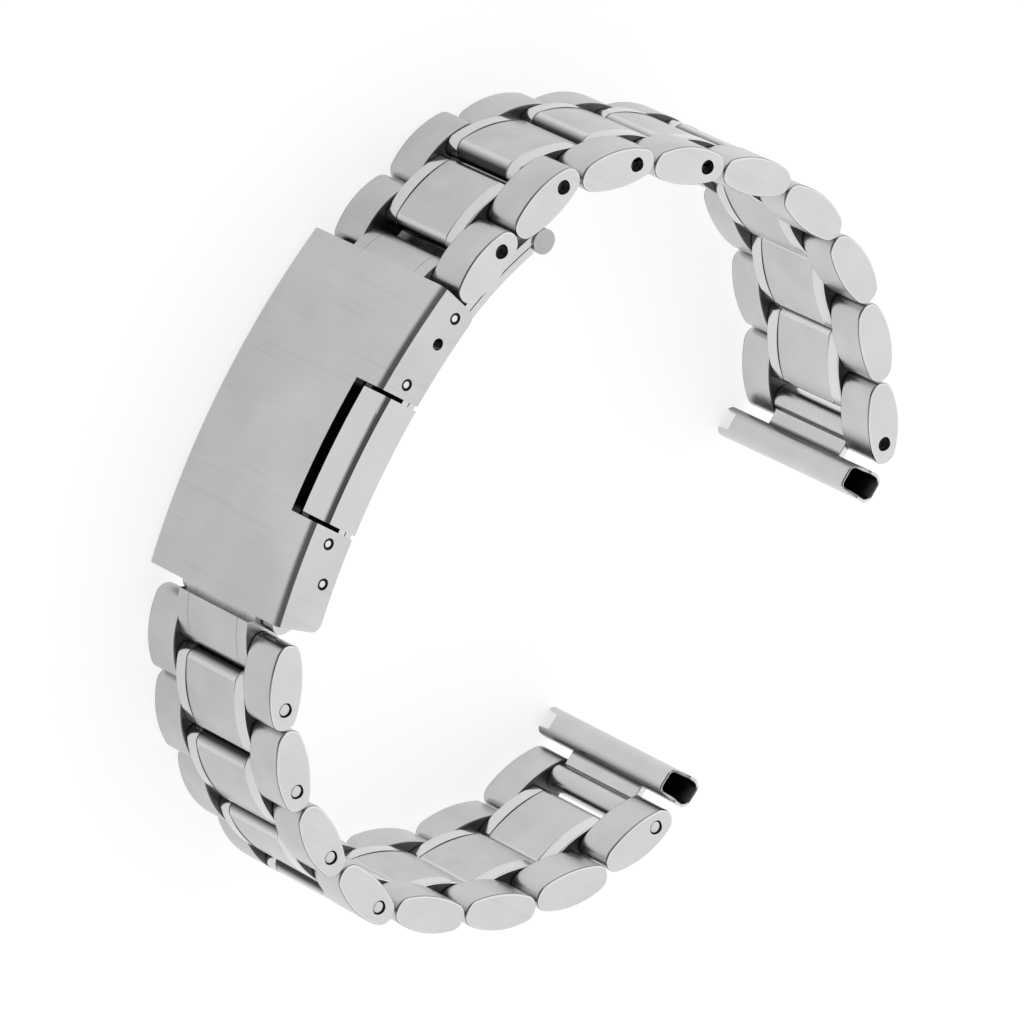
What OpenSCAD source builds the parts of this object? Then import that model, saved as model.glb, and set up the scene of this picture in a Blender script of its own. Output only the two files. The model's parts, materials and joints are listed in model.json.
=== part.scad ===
// Steel watch bracelet with a folding clasp and one push button, lying on one edge.
// Every hinge runs along Z. The clasp cover is at the top of the plan, the wrist below it.
// "Out" is away from the wrist, "in" is towards it. The upper half leaves the cover
// towards +X, the lower half towards -X.

/* [Widths] */
// Lug width of the watch that the end sleeves fit between
lug_width = 20; // [18:0.5:24]
// Side play of an end sleeve between the lugs, both sides together
lug_play = 0.2; // [0.1:0.05:0.6]
// Width of a row of links over its two outer plates
link_width = 18.2; // [16.6:0.1:18.4]
// Width between the two outer plates of a row
centre_gap = 10.2; // [8:0.1:12]
// Width of each polished strip beside a centre link
strip_w = 1.5; // [0.8:0.1:2.4]
// Width of the clasp cover
cover_w = 19; // [18.8:0.1:22]
// Width of the two folding blades
blade_w = 14.8; // [13:0.1:15.4]

/* [Links] */
// Distance from one link pin to the next
pitch = 8; // [7.6:0.1:9]
// Gap between the ends of neighbouring plates when the bracelet is straight
end_gap = 0.15; // [0.1:0.01:0.5]
// Height of a link from the pin line to its outer face
crown_out = 1.78; // [1.6:0.01:2.2]
// Height of a link from the pin line to its inner face
crown_in = 1.66; // [1.5:0.01:2.2]
// Radius of the round ends of a link
link_end_r = 1.3; // [0.9:0.05:1.45]
// How much lower than the plates the outer face of a centre link lies
centre_drop = 0.06; // [0:0.01:0.3]
// Free space at each side of a centre link
side_clear = 0.05; // [0.03:0.01:0.2]
// Width of the seam between a centre link and the strip beside it
seam = 0.04; // [0.01:0.01:0.1]
// How far a hidden pin stays under the side face of its plate
blind_depth = 1; // [0.5:0.1:2]

/* [Pins] */
// Diameter of a link pin
link_pin_d = 1.2; // [1:0.05:1.4]
// Running clearance around a turning pin, on the radius
pin_clear = 0.04; // [0.02:0.005:0.08]
// Clearance around a pin that is driven in and stays, on the radius
drive_clear = 0.01; // [0.005:0.005:0.02]
// How deep the ends of a split pin lie under the side faces
pin_recess = 0.08; // [0.02:0.01:0.3]
// How deep the near end lies where the hole looks empty
deep_recess = 0.9; // [0.5:0.1:2]
// Width of the slot in a split pin
split_w = 0.24; // [0.1:0.02:0.3]
// Length of the slot in a split pin
split_l = 6; // [2:0.5:9]

/* [Clasp cover] */
// Radius of the cover's outer face
cover_r = 76; // [70:0.5:90]
// Length of the cover straight across from end to end
cover_l = 32.4; // [31.5:0.1:36]
// Thickness of the cover's top
cover_t = 1; // [0.7:0.05:1.1]
// Thickness of the cover's side walls
wall_t = 0.9; // [0.6:0.05:0.95]
// Depth of the side walls from the outer face down
wall_h = 4.8; // [4.7:0.1:5]
// Radius of the bend between top and side walls
bend_r = 1.2; // [0.8:0.05:1.4]
// How far the bend turns before it meets the wall in a crease
bend_angle = 50; // [40:1:60]
// Rounding of the lower corners of the side walls
corner_r = 0.9; // [0.3:0.1:1.2]
// Diameter of the pin holes in the side walls
wall_hole_d = 1.1; // [0.9:0.05:1.2]
// Diameter of the light centre that shows in a wall hole
pin_nub_d = 0.6; // [0.3:0.05:0.7]
// Depth of the dark ring around it
nub_depth = 0.35; // [0.2:0.05:0.6]

/* [Places in the clasp] */
// Cover hinge, distance from the middle towards the lower end
hinge_x = 11.2; // [10.6:0.1:11.6]
// Cover hinge, depth below the outer face
hinge_depth = 3.5; // [3.3:0.05:3.6]
// Lower rivet of the button frame, distance from the middle
rivet_low_x = 7.89; // [7.8:0.01:8]
// Upper rivet of the button frame, distance from the middle
rivet_high_x = 7.26; // [7.1:0.01:7.4]
// Depth of the two rivets below the outer face
rivet_depth = 2.5; // [2.3:0.05:2.7]
// Empty adjusting hole, distance from the middle towards the upper end
spare_x = 11.56; // [11:0.05:11.9]
// Spring bar in use, distance from the middle towards the upper end
adjust_x = 14.18; // [14:0.01:14.3]
// Depth of the two adjusting holes below the outer face
adjust_depth = 3.06; // [3:0.01:3.2]
// Blade spring bar, distance from the middle towards the lower end
blade_bar_x = 15.8; // [15.6:0.05:16]
// Depth of the blade spring bar below the outer face
blade_bar_depth = 3.02; // [3:0.01:3.2]

/* [Blades] */
// Thickness of each folding blade
blade_t = 0.7; // [0.5:0.05:0.75]
// Gap between cover walls and upper blade, and between the two blades
blade_gap = 0.1; // [0.08:0.01:0.2]
// Angle around the cover's centre at which the blades start to curl down
curl_from = 10; // [9.5:0.1:10.5]
// Radius of that curl
curl_r = 35; // [33:0.5:37]
// Angle through which the blades curl before they meet the fold hinge
curl_angle = 20.9; // [20.5:0.1:21.5]
// Radius of the hinge barrels
barrel_r = 1.15; // [1:0.01:1.2]
// Width of each outer barrel of the fold hinge
outer_barrel_w = 0.9; // [0.6:0.05:1.5]
// Gap between the outer barrels and the middle one
barrel_gap = 0.4; // [0.1:0.05:0.6]
// How far the outer barrels stand out of the blades' sides
barrel_out = 0.2; // [0.05:0.05:0.4]
// Radius of the ears that carry the blade spring bar
ear_r = 1.02; // [0.9:0.01:1.1]
// Thickness of those ears
ear_t = 1.4; // [0.8:0.1:1.8]
// Gap between an ear and the centre link beside it
ear_gap = 0.15; // [0.05:0.05:0.3]

/* [Buttons and catch] */
// Middle of the button, distance from the cover's middle towards the lower end
button_x = 0.35; // [0.3:0.01:0.4]
// Length of the button along the cover
button_l = 11.9; // [11.5:0.1:12]
// Free space at each end of the button in its cut-out
button_end_gap = 0.4; // [0.2:0.05:0.5]
// How far the button stands out of the side wall
button_out = 0.7; // [0.4:0.05:1]
// How deep the button reaches in from the side wall's outer face
button_in = 2; // [1.8:0.1:2.2]
// Depth of the cut-out from the side wall's outer face
cutout_in = 3.3; // [3.2:0.05:3.6]
// How far the button's top lies below the cover's outer face at its inner edge
button_top_drop = 0.1; // [0.05:0.05:0.3]
// How far the button's outer edge lies below the cover's outer face
button_edge_drop = 0.75; // [0.5:0.05:1]
// Height of the button's outer face
button_h = 3.55; // [3:0.05:3.6]
// Radius of the hollow that is cut along the button's outer edge
groove_r = 0.9; // [0.5:0.05:1.2]
// How deep that hollow takes the edge away
groove_depth = 0.3; // [0.2:0.02:0.4]
// Travel of the button
button_travel = 1; // [0.8:0.05:1.1]
// Radius of the catch post's stem
post_r = 0.9; // [0.7:0.05:1]
// Radius of the catch post's head
post_head_r = 1.5; // [1.2:0.05:1.6]
// Height of the catch post's head
post_head_h = 0.8; // [0.5:0.05:0.9]
// Free space between the head and the button's hook
hook_clear = 0.15; // [0.08:0.01:0.3]
// Width of the button's hook and of its arm
hook_w = 0.9; // [0.6:0.05:1.1]
// Height of the button's hook and of its arm
hook_h = 1; // [0.6:0.05:1.1]
// Thickness of the button frame's plate
frame_t = 0.8; // [0.5:0.05:0.9]
// Free space between the frame and the cover, and around moving pieces
frame_gap = 0.12; // [0.1:0.01:0.2]
// Length along the cover of the frame's blocks around the rivets
cheek_l = 1.9; // [1.7:0.05:2]
// Outer radius of a button spring
spring_r = 0.7; // [0.6:0.05:0.8]
// Wall of a button spring
spring_wall = 0.22; // [0.15:0.01:0.3]
// Length of a button spring at rest
spring_l = 2.9; // [2.5:0.1:3.2]
// Distance of a button spring from the button's middle
spring_off = 4.3; // [4:0.05:4.7]

/* [End sleeves] */
// Distance from the last link pin to the middle of a sleeve's tube
sleeve_reach = 4.1; // [3.7:0.1:5]
// Depth of a sleeve's tube, along its tongue
tube_d = 2.8; // [2.4:0.05:3]
// Height of a sleeve's tube
tube_h = 2.4; // [2.3:0.05:2.8]
// Rounding of a sleeve's tube
tube_round = 0.9; // [0.4:0.05:1.1]
// Diameter of the spring bar bore
bar_bore_d = 1.7; // [1.5:0.05:1.9]
// Radius of the loop around the last link pin
loop_r = 1.3; // [1.1:0.05:1.5]
// Thickness of the tongue between loop and tube
tongue_t = 1.2; // [0.8:0.05:1.6]
// Depth of the notch in the far end of a sleeve's tube
notch_l = 1.4; // [0.5:0.1:2]
// Width of that notch
notch_w = 1.1; // [0.6:0.1:1.4]
// Depth of the step in the near end of a sleeve's tube
step_l = 1.9; // [0.5:0.1:2.5]
// Thickness of the wall that the step takes away
step_t = 0.42; // [0.3:0.02:0.5]

/* [First rows] */
// Distance from the adjusting spring bar to the first pin of the upper half
reach_upper = 7.17; // [7.1:0.01:7.3]
// Distance from the blade spring bar to the first pin of the lower half
reach_lower = 7.04; // [7:0.01:7.2]
// Angle below level at which that first upper pin lies
drop_upper = 14.2; // [13.8:0.1:14.4]
// Angle below level at which that first lower pin lies
drop_lower = 21.5; // [21.3:0.1:22]
// Angle below level of the first upper row
tilt_upper = 16.4; // [16.2:0.1:16.8]
// Angle below level of the first lower row
tilt_lower = 28.5; // [28.3:0.1:29]
// How much shorter the first upper row's plates are at the cover
first_trim = 0.4; // [0.35:0.05:0.6]
// How much shorter the first upper row's centre link is at its far end
first_short = 0.7; // [0:0.1:1]
// Nose radius of the two centre links that sit in the cover
first_nose_r = 1.75; // [1.6:0.01:1.8]

/* [Bend of the upper half at rest] */
// Inward bend at the pin of row 1
upper_bend_1 = 6.4; // [4:0.1:8]
// Inward bend at the pin of row 2
upper_bend_2 = 31; // [0:0.1:32]
// Inward bend at the pin of row 3
upper_bend_3 = 16.4; // [0:0.1:32]
// Inward bend at the pin of row 4
upper_bend_4 = 7.3; // [0:0.1:32]
// Inward bend at the pin of row 5
upper_bend_5 = 20; // [0:0.1:32]
// Inward bend at the pin of row 6
upper_bend_6 = 16.5; // [0:0.1:32]
// Inward bend at the pin of row 7
upper_bend_7 = 18; // [0:0.1:32]
// Inward bend at the pin of row 8
upper_bend_8 = 9.1; // [0:0.1:32]
// Inward bend of the end sleeve at the pin of row 9
upper_sleeve_bend = 42.9; // [0:0.1:50]

/* [Bend of the lower half at rest] */
// Inward bend at the pin of row 1
lower_bend_1 = 13.7; // [0:0.1:32]
// Inward bend at the pin of row 2
lower_bend_2 = 18.2; // [0:0.1:32]
// Inward bend at the pin of row 3
lower_bend_3 = 13.5; // [0:0.1:32]
// Inward bend at the pin of row 4
lower_bend_4 = 28.7; // [0:0.1:32]
// Inward bend at the pin of row 5
lower_bend_5 = 10.6; // [0:0.1:32]
// Inward bend at the pin of row 6
lower_bend_6 = 15; // [0:0.1:32]
// Inward bend at the pin of row 7
lower_bend_7 = 19.8; // [0:0.1:32]
// Inward bend of the end sleeve at the pin of row 8
lower_sleeve_bend = 23.6; // [0:0.1:50]

/* [Hidden] */
$fn = 96;
// Overshoot of a cut past the face it cuts
over = 1;
// Thin overlap that joins shapes of one piece
lap = 0.1;

sleeve_l = lug_width - lug_play;
half_sleeve = sleeve_l / 2;
half_link = link_width / 2;
half_gap = centre_gap / 2;
half_centre = half_gap - side_clear;
half_cover = cover_w / 2;
half_blade = blade_w / 2;
inner_wall = half_cover - wall_t;
pin_r = link_pin_d / 2;
run_r = pin_r + pin_clear;
drive_r = pin_r + drive_clear;
row_half = (pitch - end_gap) / 2;

// The cover's centre of curvature lies straight below the middle of the cover.
function around(r, a) = [r * sin(a), r * cos(a) - cover_r];
function at_depth(x, depth) = [x, sqrt(pow(cover_r - depth, 2) - x * x) - cover_r];
function step_by(p, d, a) = [p[0] + d * cos(a), p[1] + d * sin(a)];
function turn(p, a) = [p[0] * cos(a) - p[1] * sin(a), p[0] * sin(a) + p[1] * cos(a)];

cover_half_angle = asin(cover_l / 2 / cover_r);
wall_foot_r = cover_r - wall_h;
under_top_r = cover_r - cover_t;
hinge = at_depth(-hinge_x, hinge_depth);
hinge_angle = -asin(hinge_x / (cover_r - hinge_depth));
rivet_low = at_depth(-rivet_low_x, rivet_depth);
rivet_high = at_depth(rivet_high_x, rivet_depth);
spare_hole = at_depth(spare_x, adjust_depth);
adjust_bar = at_depth(adjust_x, adjust_depth);
blade_bar = at_depth(-blade_bar_x, blade_bar_depth);

// Upper blade right under the walls, lower blade under that.
upper_blade_r = wall_foot_r - blade_gap;
lower_blade_r = upper_blade_r - blade_t - blade_gap;
curl_centre = around(upper_blade_r - curl_r, curl_from);
fold_angle = curl_from + curl_angle;
fold = [curl_centre[0] + (curl_r - barrel_r) * sin(fold_angle),
        curl_centre[1] + (curl_r - barrel_r) * cos(fold_angle)];

// Chains: one row has its near pivot at 0 and its own pin at one pitch along its direction.
upper_bends = [0, upper_bend_1, upper_bend_2, upper_bend_3, upper_bend_4, upper_bend_5,
               upper_bend_6, upper_bend_7, upper_bend_8];
lower_bends = [0, lower_bend_1, lower_bend_2, lower_bend_3, lower_bend_4, lower_bend_5,
               lower_bend_6, lower_bend_7];
upper_count = len(upper_bends);
lower_count = len(lower_bends);
function total(v, n) = n < 0 ? 0 : v[n] + total(v, n - 1);
function upper_dir(i) = -tilt_upper - total(upper_bends, i);
function lower_dir(i) = tilt_lower - 180 + total(lower_bends, i);
first_upper_pin = step_by(adjust_bar, reach_upper, -drop_upper);
first_lower_pin = step_by(blade_bar, reach_lower, drop_lower - 180);
function upper_pin(i) = i == 0 ? first_upper_pin : step_by(upper_pin(i - 1), pitch, upper_dir(i));
function lower_pin(i) = i == 0 ? first_lower_pin : step_by(lower_pin(i - 1), pitch, lower_dir(i));
function upper_root(i) = step_by(upper_pin(i), -pitch, upper_dir(i));
function lower_root(i) = step_by(lower_pin(i), -pitch, lower_dir(i));
upper_sleeve_dir = upper_dir(upper_count - 1) - upper_sleeve_bend;
lower_sleeve_dir = lower_dir(lower_count - 1) + lower_sleeve_bend;

// Where the two clasp pivots lie in their own first rows, out being positive.
first_upper_pivot = turn(adjust_bar - upper_root(0), -upper_dir(0));
lower_turned = turn(blade_bar - lower_root(0), -lower_dir(0));
first_lower_pivot = [lower_turned[0], -lower_turned[1]];

// Reach of a plate's outline from its middle, in the direction at angle a from its own axis.
function crown_r(l, h, r) = (l * l + h * h - 2 * l * r) / (2 * (h - r));
function crown_angle(l, h, r) = atan2(l - r, crown_r(l, h, r) - h);
function side_reach(l, h, r, c, s) =
    atan2(abs(c), s) < crown_angle(l, h, r)
    ? crown_r(l, h, r) - (crown_r(l, h, r) - h) * s
    : (l - r) * abs(c) + r;
function plate_reach(c, s) =
    s > 0 ? side_reach(row_half, crown_out, link_end_r, c, s)
          : side_reach(row_half, crown_in, link_end_r, c, -s);
function row_reach(root, dir, side, a) =
    let (mid = step_by(root, pitch / 2 + pitch / 4, dir))
    mid[0] * cos(a) + mid[1] * sin(a) + plate_reach(cos(a - dir), side * sin(a - dir));
function far(a) = max(concat(
    [for (i = [0:upper_count - 1]) row_reach(upper_root(i), upper_dir(i), 1, a)],
    [for (i = [0:lower_count - 1]) row_reach(lower_root(i), lower_dir(i), -1, a)],
    [sin(a) > 0.5 ? 0 : -cover_r]));
right = far(0);
top = far(90);
left = -far(180);
bottom = -far(270);
rest_height = max(half_sleeve, half_link, half_cover);
row_mid = pitch * 3 / 4;

// Placing

// The finished bracelet stands on its edge with its middle over the origin.
module seated() {
    translate([-(left + right) / 2, -(bottom + top) / 2, rest_height]) children();
}

module at(p) {
    translate([p[0], p[1], 0]) children();
}

module in_upper(i) {
    seated() at(upper_root(i)) rotate([0, 0, upper_dir(i)]) children();
}

module in_lower(i) {
    seated() at(lower_root(i)) rotate([0, 0, lower_dir(i)]) mirror([0, 1, 0]) children();
}

module both_sides() {
    children();
    mirror([0, 0, 1]) children();
}

// A flat shape given thickness from z = from to z = to.
module slab(from, to) {
    translate([0, 0, from]) linear_extrude(to - from) children();
}

module rod(p, r, from, to) {
    translate([p[0], p[1], from]) cylinder(h = to - from, r = r);
}

// Part of a ring around the cover's centre, from angle a to angle b.
module ring_part(r_in, r_out, a, b) {
    intersection() {
        translate([0, -cover_r]) difference() {
            circle(r = r_out);
            circle(r = r_in);
        }
        polygon([[0, -cover_r], around(2 * r_out, a), around(2 * r_out, b)]);
    }
}

// Links

// A cushion outline: two crowned sides run smoothly into two round ends.
module cushion(l, out, inn, r) {
    out_r = crown_r(l, out, r);
    in_r = crown_r(l, inn, r);
    end_x = l - r;
    out_a = crown_angle(l, out, r);
    in_a = crown_angle(l, inn, r);
    reach = 2 * r;
    for (s = [-1, 1]) translate([s * end_x, 0]) circle(r = r);
    intersection() {
        translate([0, out - out_r]) circle(r = out_r);
        translate([0, in_r - inn]) circle(r = in_r);
        polygon([[end_x + reach * sin(out_a), reach * cos(out_a)],
                 [end_x, 0],
                 [end_x + reach * sin(in_a), -reach * cos(in_a)],
                 [-end_x - reach * sin(in_a), -reach * cos(in_a)],
                 [-end_x, 0],
                 [-end_x - reach * sin(out_a), reach * cos(out_a)]]);
    }
}

// One outer plate with its two pin holes. trim shortens the end at the cover.
module outer_plate(trim, through) {
    difference() {
        slab(half_gap, half_link)
            translate([row_mid + trim / 2, 0])
            cushion(row_half - trim / 2, crown_out, crown_in, link_end_r);
        rod([pitch / 2, 0], drive_r, 0, half_link - blind_depth + drive_clear);
        rod([pitch, 0], drive_r, 0, through ? half_link + over : half_link - blind_depth + drive_clear);
    }
}

module blind_pin(x) {
    rod([x, 0], pin_r, blind_depth - half_link, half_link - blind_depth);
}

// The two outer plates of a row with the pins that are closed in between them.
module plate_pair(trim, through) {
    color("gainsboro") {
        both_sides() outer_plate(trim, through);
        blind_pin(pitch / 2);
        if (!through) blind_pin(pitch);
    }
}

// Outline of a regular centre link, from its pivot's nose to its far end.
module centre_outline(short) {
    translate([pitch / 4 - short / 2, 0])
        cushion(row_half - short / 2, crown_out - centre_drop, crown_in, link_end_r);
}

// A middle piece and the two polished strips beside it, bored for pivot and fixed pin.
module centre_group(pivot, bore_r) {
    half_main = half_centre - strip_w;
    edges = [[-half_centre, -half_main - seam], [-half_main, half_main],
             [half_main + seam, half_centre]];
    color("silver")
        for (e = edges) difference() {
            slab(e[0], e[1]) children();
            rod(pivot, bore_r, -half_gap, half_gap);
            rod([pitch / 2, 0], drive_r, -half_gap, half_gap);
        }
}

module centre_link() {
    centre_group([0, 0], run_r) centre_outline(0);
}

// The split pin that joins a row to the next one. near_depth is its recess at the near side.
module split_pin(near_depth) {
    color("whitesmoke") difference() {
        rod([pitch, 0], pin_r, pin_recess - half_link, half_link - near_depth);
        translate([pitch - link_pin_d, -split_w / 2, half_link - near_depth - split_l])
            cube([2 * link_pin_d, split_w, split_l + over]);
    }
}

module upper_plates(i) {
    in_upper(i) plate_pair(i == 0 ? first_trim : 0, i < 4 || i == upper_count - 1);
}

module lower_plates(i) {
    in_lower(i) plate_pair(0, i < 4 || i == lower_count - 1);
}

module upper_centre(i) {
    in_upper(i) centre_link();
}

module lower_centre(i) {
    in_lower(i) centre_link();
}

// Nose and shank of a centre link that starts inside the cover, at its own pivot.
module first_outline(pivot, short) {
    at(pivot) circle(r = first_nose_r);
    difference() {
        centre_outline(short);
        translate([pivot[0] - pitch, -pitch]) square([pitch, 2 * pitch]);
    }
}

module upper_first_centre() {
    in_upper(0) centre_group(first_upper_pivot, adjust_bore_r)
        first_outline(first_upper_pivot, first_short);
}

// The lower one is cut back where the cover's end lies over it.
module lower_first_centre() {
    cut_r = under_top_r - lower_top_gap;
    in_lower(0) centre_group(first_lower_pivot, run_r) difference() {
        first_outline(first_lower_pivot, 0);
        mirror([0, 1]) rotate(-lower_dir(0)) translate(-lower_root(0))
            ring_part(cut_r, cover_r + over, -cover_half_angle - lower_end_gap, 0);
    }
}

module upper_split_pin(i) {
    in_upper(i) split_pin(deep_recess);
}

module lower_split_pin(i) {
    in_lower(i) split_pin(pin_recess);
}

// Clearances of the first lower centre link under the cover's top and end.
lower_top_gap = 0.15;
lower_end_gap = 0.3;

// Clasp cover

// Cross section of the cover: radius across, width up.
module cover_section() {
    bend_from = half_cover - bend_r * sin(bend_angle);
    difference() {
        intersection() {
            translate([wall_foot_r, -half_cover]) square([wall_h, cover_w]);
            union() {
                translate([wall_foot_r, -half_cover]) square([wall_h - bend_r, cover_w]);
                translate([wall_foot_r, -bend_from]) square([wall_h, 2 * bend_from]);
                for (s = [-1, 1]) translate([cover_r - bend_r, s * bend_from])
                    circle(r = bend_r);
            }
        }
        translate([wall_foot_r - over, -inner_wall])
            square([wall_h - cover_t + over, 2 * inner_wall]);
    }
}

// Rounds the lower corner of a side wall at the end that lies at angle a.
module corner_cut(s) {
    a = cover_half_angle;
    mirror([s > 0 ? 0 : 1, 0])
        translate(around(wall_foot_r, a)) rotate(-a) translate([-corner_r, corner_r])
        difference() {
            translate([0, -corner_r - over]) square([corner_r + over, corner_r + over]);
            circle(r = corner_r);
        }
}

module clasp_cover() {
    cutout_l = button_l + 2 * button_end_gap;
    color("silver") seated() difference() {
        translate([0, -cover_r, 0]) rotate([0, 0, 90 - cover_half_angle])
            rotate_extrude(angle = 2 * cover_half_angle) cover_section();
        for (s = [-1, 1]) slab(-half_cover - over, half_cover + over) corner_cut(s);
        for (p = [hinge, rivet_low, rivet_high, spare_hole, adjust_bar])
            rod(p, wall_hole_d / 2, -half_cover - over, half_cover + over);
        translate([-button_x - cutout_l / 2, -2 * wall_h, half_cover - cutout_in])
            cube([cutout_l, 3 * wall_h, cutout_in + over]);
    }
}

// A pin across the cover whose tips sit in the wall holes.
tip_r = wall_hole_d / 2;
adjust_bar_r = 0.75;
adjust_bore_r = adjust_bar_r + pin_clear;

module wall_pin(p, body_r) {
    inner = inner_wall - frame_gap;
    rod(p, body_r, -inner, inner);
    both_sides() {
        rod(p, tip_r, inner, half_cover - nub_depth);
        rod(p, pin_nub_d / 2, half_cover - nub_depth, half_cover - pin_recess);
    }
}

module cover_hinge_pin() {
    color("whitesmoke") seated() wall_pin(hinge, pin_r);
}

module adjust_spring_bar() {
    color("whitesmoke") seated() wall_pin(adjust_bar, adjust_bar_r);
}

module frame_rivets() {
    color("whitesmoke") seated() for (p = [rivet_low, rivet_high]) wall_pin(p, pin_r);
}

// Button and its frame

frame_top_r = under_top_r - frame_gap;
frame_low_r = upper_blade_r + blade_gap + frame_gap;
button_face = half_cover - button_in;
frame_inner = button_face - button_travel - frame_gap;
spring_seat = button_face - spring_l;
spring_wall_t = 0.8;
spring_rise = 0.3;
spring_r_mid = cover_r - button_edge_drop - button_h / 2 - spring_rise;

// Blocks around the rivets, the plate between them and the posts that the springs push on.
module button_frame() {
    deep = inner_wall - frame_gap;
    color("darkgray") seated() difference() {
        union() {
            intersection() {
                slab(-deep, deep) ring_part(frame_low_r, frame_top_r, -20, 20);
                for (e = [rivet_low[0], rivet_high[0]])
                    translate([e - cheek_l / 2, -cover_r / 2, -deep])
                        cube([cheek_l, cover_r, 2 * deep]);
            }
            intersection() {
                slab(-deep, frame_inner)
                    ring_part(frame_top_r - frame_t, frame_top_r, -20, 20);
                translate([rivet_low[0] - lap, -cover_r / 2, -deep])
                    cube([rivet_high[0] - rivet_low[0] + 2 * lap, cover_r, 2 * deep]);
            }
            for (e = [-1, 1]) intersection() {
                slab(spring_seat - spring_wall_t, spring_seat)
                    ring_part(frame_low_r, frame_top_r, -20, 20);
                translate([e * spring_off - button_x - spring_r - frame_gap, -cover_r / 2, 0])
                    cube([2 * spring_r + 2 * frame_gap, cover_r, deep]);
            }
        }
        for (p = [rivet_low, rivet_high]) rod(p, drive_r, -half_cover, half_cover);
    }
}

// Cross section of the button: radius across, width up.
module button_section() {
    edge_r = cover_r - button_edge_drop;
    low_r = edge_r - button_h;
    inner_r = cover_r - button_top_drop;
    face = half_cover + button_out;
    difference() {
        polygon([[low_r, button_face], [inner_r, button_face], [edge_r, face], [low_r, face]]);
        translate([edge_r, face] + (groove_r - groove_depth) * [sin(45), cos(45)])
            circle(r = groove_r);
    }
}

// The button with its arm beside the catch post and its hook on the post's far side.
module push_button() {
    arm_x = post_head_r + hook_clear;
    hook_z = post_head_r + hook_clear;
    arm_low_y = frame_low_r + arm_rise - cover_r;
    color("lightgray") seated() {
        intersection() {
            translate([0, -cover_r, 0]) rotate([0, 0, 60])
                rotate_extrude(angle = 60) button_section();
            translate([-button_x - button_l / 2, -cover_r / 2, 0])
                cube([button_l, cover_r, cover_w]);
        }
        translate([arm_x - button_x, arm_low_y, -hook_z - hook_w])
            cube([hook_w, hook_h, hook_z + hook_w + button_face + lap]);
        translate([-button_x - arm_x, arm_low_y, -hook_z - hook_w])
            cube([2 * arm_x + hook_w, hook_h, hook_w]);
    }
}

// Height of the arm over the frame's foot.
arm_rise = 0.3;

// The button is pushed out by two springs, shown as plain sleeves.
module button_springs() {
    color("gray") seated()
        for (e = [-1, 1])
            translate([e * spring_off - button_x, spring_r_mid - cover_r, spring_seat])
            difference() {
                cylinder(h = spring_l, r = spring_r);
                translate([0, 0, -over]) cylinder(h = spring_l + 2 * over,
                                                  r = spring_r - spring_wall);
            }
}

// Folding blades

// The bend starts a touch before the arc ends, so that both are one sheet.
curl_early = curl_from - 0.01;

// Side view of a blade's sheet from angle a on, r being its upper face.
module blade_sheet(r, a) {
    drop = upper_blade_r - r;
    ring_part(r - blade_t, r, a, curl_from);
    intersection() {
        translate(curl_centre) difference() {
            circle(r = curl_r - drop);
            circle(r = curl_r - drop - blade_t);
        }
        translate(curl_centre)
            polygon([[0, 0],
                     2 * curl_r * [sin(curl_early), cos(curl_early)],
                     2 * curl_r * [sin(fold_angle), cos(fold_angle)]]);
    }
}

window_x = 2.5;
window_z = post_head_r + 0.8;
knuckle_half = 8.3;
neck_w = 1.7;

// The upper blade hangs on the cover hinge and ends in the two outer barrels of the fold.
module centre_blade() {
    barrel_from = half_blade + barrel_out - outer_barrel_w;
    color("lightgray") seated() difference() {
        union() {
            difference() {
                slab(-half_blade, half_blade) blade_sheet(upper_blade_r, hinge_angle);
                rod(fold, barrel_r + barrel_gap / 2, -barrel_from, barrel_from);
            }
            both_sides() rod(fold, barrel_r, barrel_from, half_blade + barrel_out);
            rod(hinge, barrel_r, -knuckle_half, knuckle_half);
            slab(-half_blade, half_blade) translate([0, -cover_r]) rotate(-hinge_angle)
                translate([-neck_w / 2, upper_blade_r - blade_t])
                square([neck_w, cover_r - hinge_depth - upper_blade_r + blade_t]);
        }
        rod(hinge, run_r, -half_cover, half_cover);
        rod(fold, drive_r, -half_cover, half_cover);
        translate([-button_x - window_x, -2 * wall_h, -window_z])
            cube([2 * window_x, 2 * wall_h, 2 * window_z]);
    }
}

module fold_hinge_pin() {
    reach = half_blade + barrel_out;
    color("whitesmoke") seated() rod(fold, pin_r, -reach, reach);
}

// Angles around the cover's centre between which the ears leave the lower blade.
ear_from = 9.8;
ear_to = 11.4;

// The lower blade carries the middle barrel, the catch post and the ears for the spring bar.
module inner_blade() {
    middle_half = half_blade + barrel_out - outer_barrel_w - barrel_gap;
    root_a = around(lower_blade_r - blade_t, -ear_from);
    root_b = around(lower_blade_r - blade_t, -ear_to);
    run = blade_bar - (root_a + root_b) / 2;
    side = ear_r * [run[1], -run[0]] / norm(run);
    ear_z = half_gap + ear_gap;
    color("lightgray") seated() difference() {
        union() {
            difference() {
                slab(-half_blade, half_blade) blade_sheet(lower_blade_r, -ear_to);
                both_sides() rod(fold, barrel_r + barrel_gap / 2, middle_half, half_blade + over);
            }
            rod(fold, barrel_r, -middle_half, middle_half);
            both_sides() slab(ear_z, ear_z + ear_t) {
                at(blade_bar) circle(r = ear_r);
                polygon([root_a, root_b, blade_bar - side, blade_bar + side]);
            }
        }
        rod(fold, run_r, -half_cover, half_cover);
        rod(blade_bar, drive_r, -half_cover, half_cover);
    }
}

module blade_spring_bar() {
    reach = half_gap + ear_gap + ear_t;
    color("whitesmoke") seated() rod(blade_bar, pin_r, -reach, reach);
}

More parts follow.
